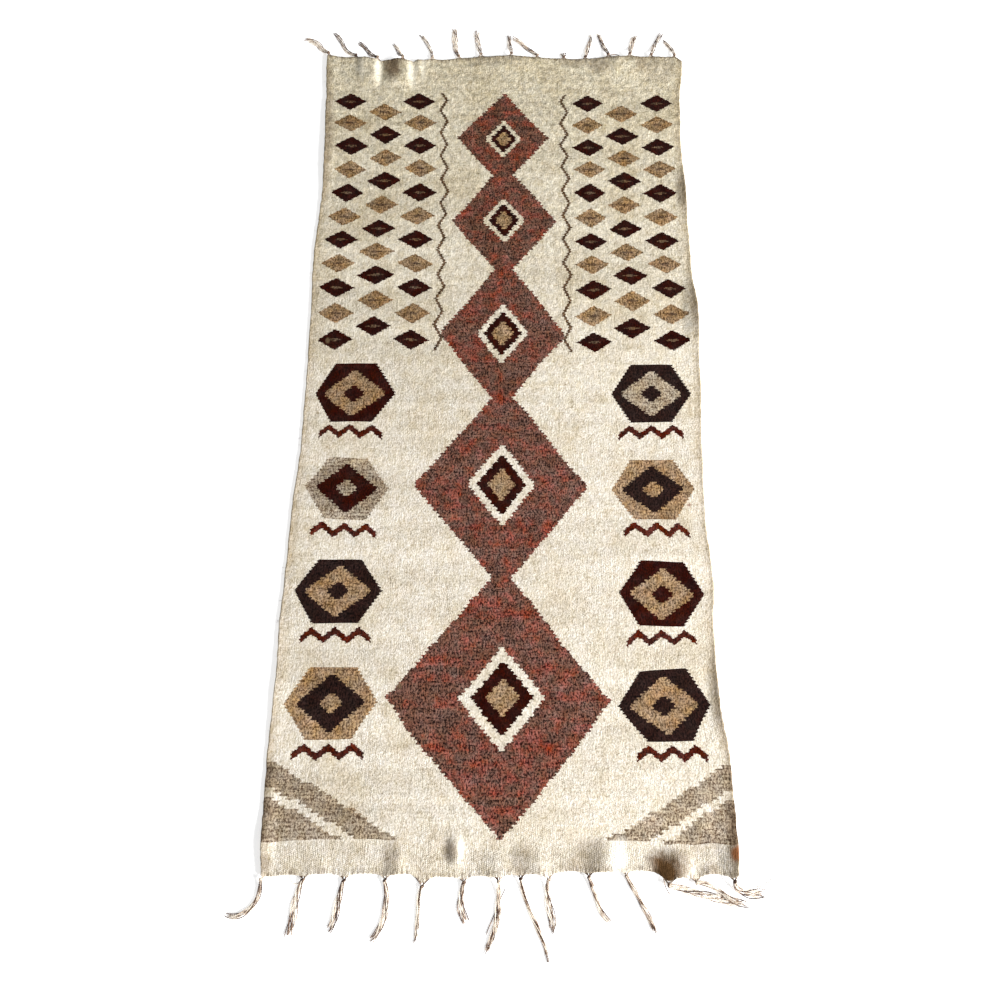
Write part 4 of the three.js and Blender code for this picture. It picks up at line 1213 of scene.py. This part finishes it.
# loose ends: single threads beside the knots, and short wool fibres that stand off the edges
threadPaths = [
    [(-262, -641, 2.5), (-266, -646, 1.2), (-263, -652, 0.6), (-257, -652, 0.6), (-254, -649, 0.6)],
    [(6, -655, 3), (0, -668, 0.9), (-6, -682, 0.7), (-14, -700, 0.7), (-17, -708, 0.7)],
    [(176, 640, 4), (182, 648, 2), (190, 651, 1), (197, 648, 1.5), (199, 642, 3)],
    [(146, 688, 1), (152, 694, 0.8), (160, 695, 0.8), (166, 690, 1)],
    [(205, -640, 11), (207, -650, 10), (211, -657, 8), (214, -660, 6)],
    [(222, -639, 11), (221, -650, 10), (217, -657, 8), (215, -660, 6)],
    [(300, -641, 8), (310, -648, 4), (322, -652, 1.5), (336, -650, 1), (346, -641, 0.8)],
]
fibres = {
    "count": 420, "plyRadius": 0.13, "plyOffset": 0.0, "plyPitch": 6, "step": 1.2, "sides": 4,
    "wander": 0.0, "belly": 0.0,
    "shortest": 1.5, "longest": 6.5,
    "atEnds": 0.7,                    # the rest stand off the selvedges
    "acrossEnds": (-298, 296), "alongSides": (-625, 625),
    "endInset": 0.8, "sideInset": 0.6,
    "heights": (0.6, 2.6),            # over the underside of the cloth
    "lean": 1.2, "curl": 0.5,         # radians either way, and share of the length
    "droop": 0.3, "lowest": 0.3, "steps": 4,
}


def smoothPath(points, count=16):
    # a rounded line through a few given points
    stations = np.linspace(0, len(points) - 1, len(points))
    places = np.linspace(0, len(points) - 1, count)
    rounded = np.column_stack([np.interp(places, stations, column) for column in np.array(points, float).T])
    for _ in range(2):
        rounded[1:-1] = (rounded[:-2] + 2 * rounded[1:-1] + rounded[2:]) / 4
    return [tuple(point) for point in rounded]


def fibrePaths():
    # hair-thin fibres from both ends and both selvedges, leaning at random
    chance = np.random.default_rng(11)
    paths = []
    for _ in range(fibres["count"]):
        outward = chance.choice([-1, 1])
        if chance.random() < fibres["atEnds"]:
            end = ends[0] if outward > 0 else ends[1]
            x = chance.uniform(*fibres["acrossEnds"])
            base = np.array([x, outward * (edgeReach(end, x) - fibres["endInset"])])
            heading = np.array([0, outward])
        else:
            y = chance.uniform(*fibres["alongSides"])
            side = readTable(rightSelvedge, y) if outward > 0 else readTable(leftSelvedge, y)
            base = np.array([outward * (side - fibres["sideInset"]), y])
            heading = np.array([outward, 0])
        lean = chance.uniform(-fibres["lean"], fibres["lean"])
        turned = np.array([heading[0] * math.cos(lean) - heading[1] * math.sin(lean),
                           heading[0] * math.sin(lean) + heading[1] * math.cos(lean)])
        sideways = np.array([-turned[1], turned[0]]) * chance.uniform(-fibres["curl"], fibres["curl"])
        length = chance.uniform(fibres["shortest"], fibres["longest"])
        height = float(liftAt(*base)) + chance.uniform(*fibres["heights"])
        points = []
        for at in range(fibres["steps"] + 1):
            share = at / fibres["steps"]
            place = base + length * (turned * share + sideways * share ** 2)
            points.append((*place, max(height - fibres["droop"] * length * share ** 2, fibres["lowest"])))
        paths.append(yarnBundle(points))
    return paths


warpYarnLook = {
    "plies": [(0.22, "#442e22"), (0.42, "#8c705c"), (0.54, "#cdbba6"), (0.82, "#eee5d6")],
    "patchGain": 1.4, "patchScale": 90.0,   # waves a metre
    "wornTip": "#7a5f48", "wornFrom": 0.7, "wornShare": 0.35,
    "fibreHeight": 0.1, "fibreScale": 900.0, "bumpStrength": 0.5,
    "roughness": 0.9, "sheen": 0.2, "sheenRoughness": 0.5, "specular": 0.2,
}


def warpMaterial():
    # undyed two-ply warp yarn: cream with grey-brown plies, matt, darker at the handled tips
    material = bpy.data.materials.new("undyedWarpYarn")
    material.use_nodes = True
    tree = material.node_tree
    tree.nodes.clear()
    tone = addNode(tree, "ShaderNodeAttribute", {"attribute_name": "tone"})["Fac"]
    tip = addNode(tree, "ShaderNodeAttribute", {"attribute_name": "tip"})["Fac"]
    place = addNode(tree, "ShaderNodeTexCoord")["Object"]
    fibre = addNode(tree, "ShaderNodeTexNoise", None,
                    {"Vector": place, "Scale": warpYarnLook["fibreScale"], "Detail": 3.0})["Fac"]
    patch = addNode(tree, "ShaderNodeTexNoise", None,
                    {"Vector": place, "Scale": warpYarnLook["patchScale"], "Detail": 2.0})["Fac"]
    stops = [(at, hexColour(ply)) for at, ply in warpYarnLook["plies"]]
    gain = warpYarnLook["patchGain"]
    mixed = addNode(tree, "ShaderNodeMath", {"operation": "MULTIPLY_ADD"},
                    {0: patch, 1: gain, 2: -gain / 2})[0]
    mixed = addNode(tree, "ShaderNodeMath", {"operation": "ADD"}, {0: mixed, 1: tone})[0]
    colour = addNode(tree, "ShaderNodeValToRGB", None, {0: mixed}, stops)["Color"]
    worn = addNode(tree, "ShaderNodeMapRange", None,
                   {"Value": tip, "From Min": warpYarnLook["wornFrom"],
                    "To Max": warpYarnLook["wornShare"]})[0]
    colour = addNode(tree, "ShaderNodeMix", {"data_type": "RGBA"},
                     {0: worn, 6: colour, 7: hexColour(warpYarnLook["wornTip"])})[2]
    normal = addNode(tree, "ShaderNodeBump", None,
                     {"Strength": warpYarnLook["bumpStrength"],
                      "Distance": warpYarnLook["fibreHeight"] * mm, "Height": fibre})[0]
    shader = addNode(tree, "ShaderNodeBsdfPrincipled", None, {
        "Base Color": colour, "Roughness": warpYarnLook["roughness"],
        "Sheen Weight": warpYarnLook["sheen"], "Sheen Roughness": warpYarnLook["sheenRoughness"],
        "Specular IOR Level": warpYarnLook["specular"], "Normal": normal,
    })[0]
    addNode(tree, "ShaderNodeOutputMaterial", None, {"Surface": shader})
    return material


# Floor, light and camera

studio = {
    "floor": "#fbfbfb", "floorRoughness": 0.9, "floorHalf": 12.0,
    "floorGlow": 0.45,        # the floor gives light of its own, so shadows stay faint
    "sky": 0.42, "keyPower": 430.0, "keySize": 1.4, "keyPlace": (3.4, -1.9, 1.75),
}


def makeFloor():
    half = studio["floorHalf"]
    mesh = bpy.data.meshes.new("floor")
    corners = [(-half, -half, 0), (half, -half, 0), (half, half, 0), (-half, half, 0)]
    mesh.from_pydata(corners, [], [(0, 1, 2, 3)])
    material = bpy.data.materials.new("paleFloor")
    material.use_nodes = True
    shader = material.node_tree.nodes["Principled BSDF"]
    shader.inputs["Base Color"].default_value = hexColour(studio["floor"])
    shader.inputs["Roughness"].default_value = studio["floorRoughness"]
    shader.inputs["Emission Color"].default_value = (1, 1, 1, 1)
    shader.inputs["Emission Strength"].default_value = studio["floorGlow"]
    mesh.materials.append(material)
    floor = bpy.data.objects.new("floor", mesh)
    bpy.context.scene.collection.objects.link(floor)


def makeLight():
    world = bpy.data.worlds.new("softRoom")
    world.use_nodes = True
    sky = world.node_tree.nodes["Background"]
    sky.inputs["Color"].default_value = (1, 1, 1, 1)
    sky.inputs["Strength"].default_value = studio["sky"]
    bpy.context.scene.world = world
    key = bpy.data.lights.new("windowLight", "AREA")
    key.shape = "DISK"
    key.size = studio["keySize"]
    key.energy = studio["keyPower"]
    lamp = bpy.data.objects.new("windowLight", key)
    place = Vector(studio["keyPlace"])
    lamp.matrix_world = Matrix.Translation(place) @ place.to_track_quat("Z", "Y").to_matrix().to_4x4()
    bpy.context.scene.collection.objects.link(lamp)


# the photograph's view, fitted to the four corners of the cloth
camera = {
    "frameWidth": 994, "focalLength": 780,      # pixels
    "tilt": 15.7624, "roll": -0.6344, "yaw": 0.9774,   # degrees
    "place": (-0.0022, -0.4475, 1.0845),
}


def makeCamera():
    lens = bpy.data.cameras.new("camera")
    lens.sensor_fit = "HORIZONTAL"
    lens.sensor_width = 36
    lens.lens = camera["focalLength"] / camera["frameWidth"] * lens.sensor_width
    lens.clip_start = 0.01
    eye = bpy.data.objects.new("camera", lens)
    yaw = Matrix.Rotation(math.radians(camera["yaw"]), 4, "Z")
    tilt = Matrix.Rotation(math.radians(camera["tilt"]), 4, "X")
    roll = Matrix.Rotation(math.radians(camera["roll"]), 4, "Z")
    eye.matrix_world = Matrix.Translation(camera["place"]) @ yaw @ tilt @ roll
    bpy.context.scene.collection.objects.link(eye)
    bpy.context.scene.camera = eye


makeCamera()
makeFloor()
makeLight()
bpy.context.scene.view_settings.view_transform = "Standard"
print("camera, floor and light are in place")

wovenCloth = makeCloth()
wovenCloth.data.materials.append(woolMaterial())
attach(wovenCloth, "root")
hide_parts("woven_panel")
print("cloth:", len(wovenCloth.data.polygons), "faces")

yarnTree = pliedYarnTree()
warpYarn = warpMaterial()
for end in ends:
    for number, tassel in enumerate(end["tassels"], 1):
        piece = makeTassel(end, tassel, number, yarnTree, warpYarn)
        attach(piece, "root")
        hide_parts(f"tassel_{end['name']}_{number:02d}")

looseThreads = spinYarns("looseThreads", [yarnBundle(smoothPath(line)) for line in threadPaths],
                         yarnTree, warpYarn, 77)
looseFibres = spinYarns("looseFibres", fibrePaths(), yarnTree, warpYarn, 78, fibres)
for piece in (looseThreads, looseFibres):
    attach(piece, "root")
print("loose ends:", len(looseThreads.data.polygons) + len(looseFibres.data.polygons), "faces")
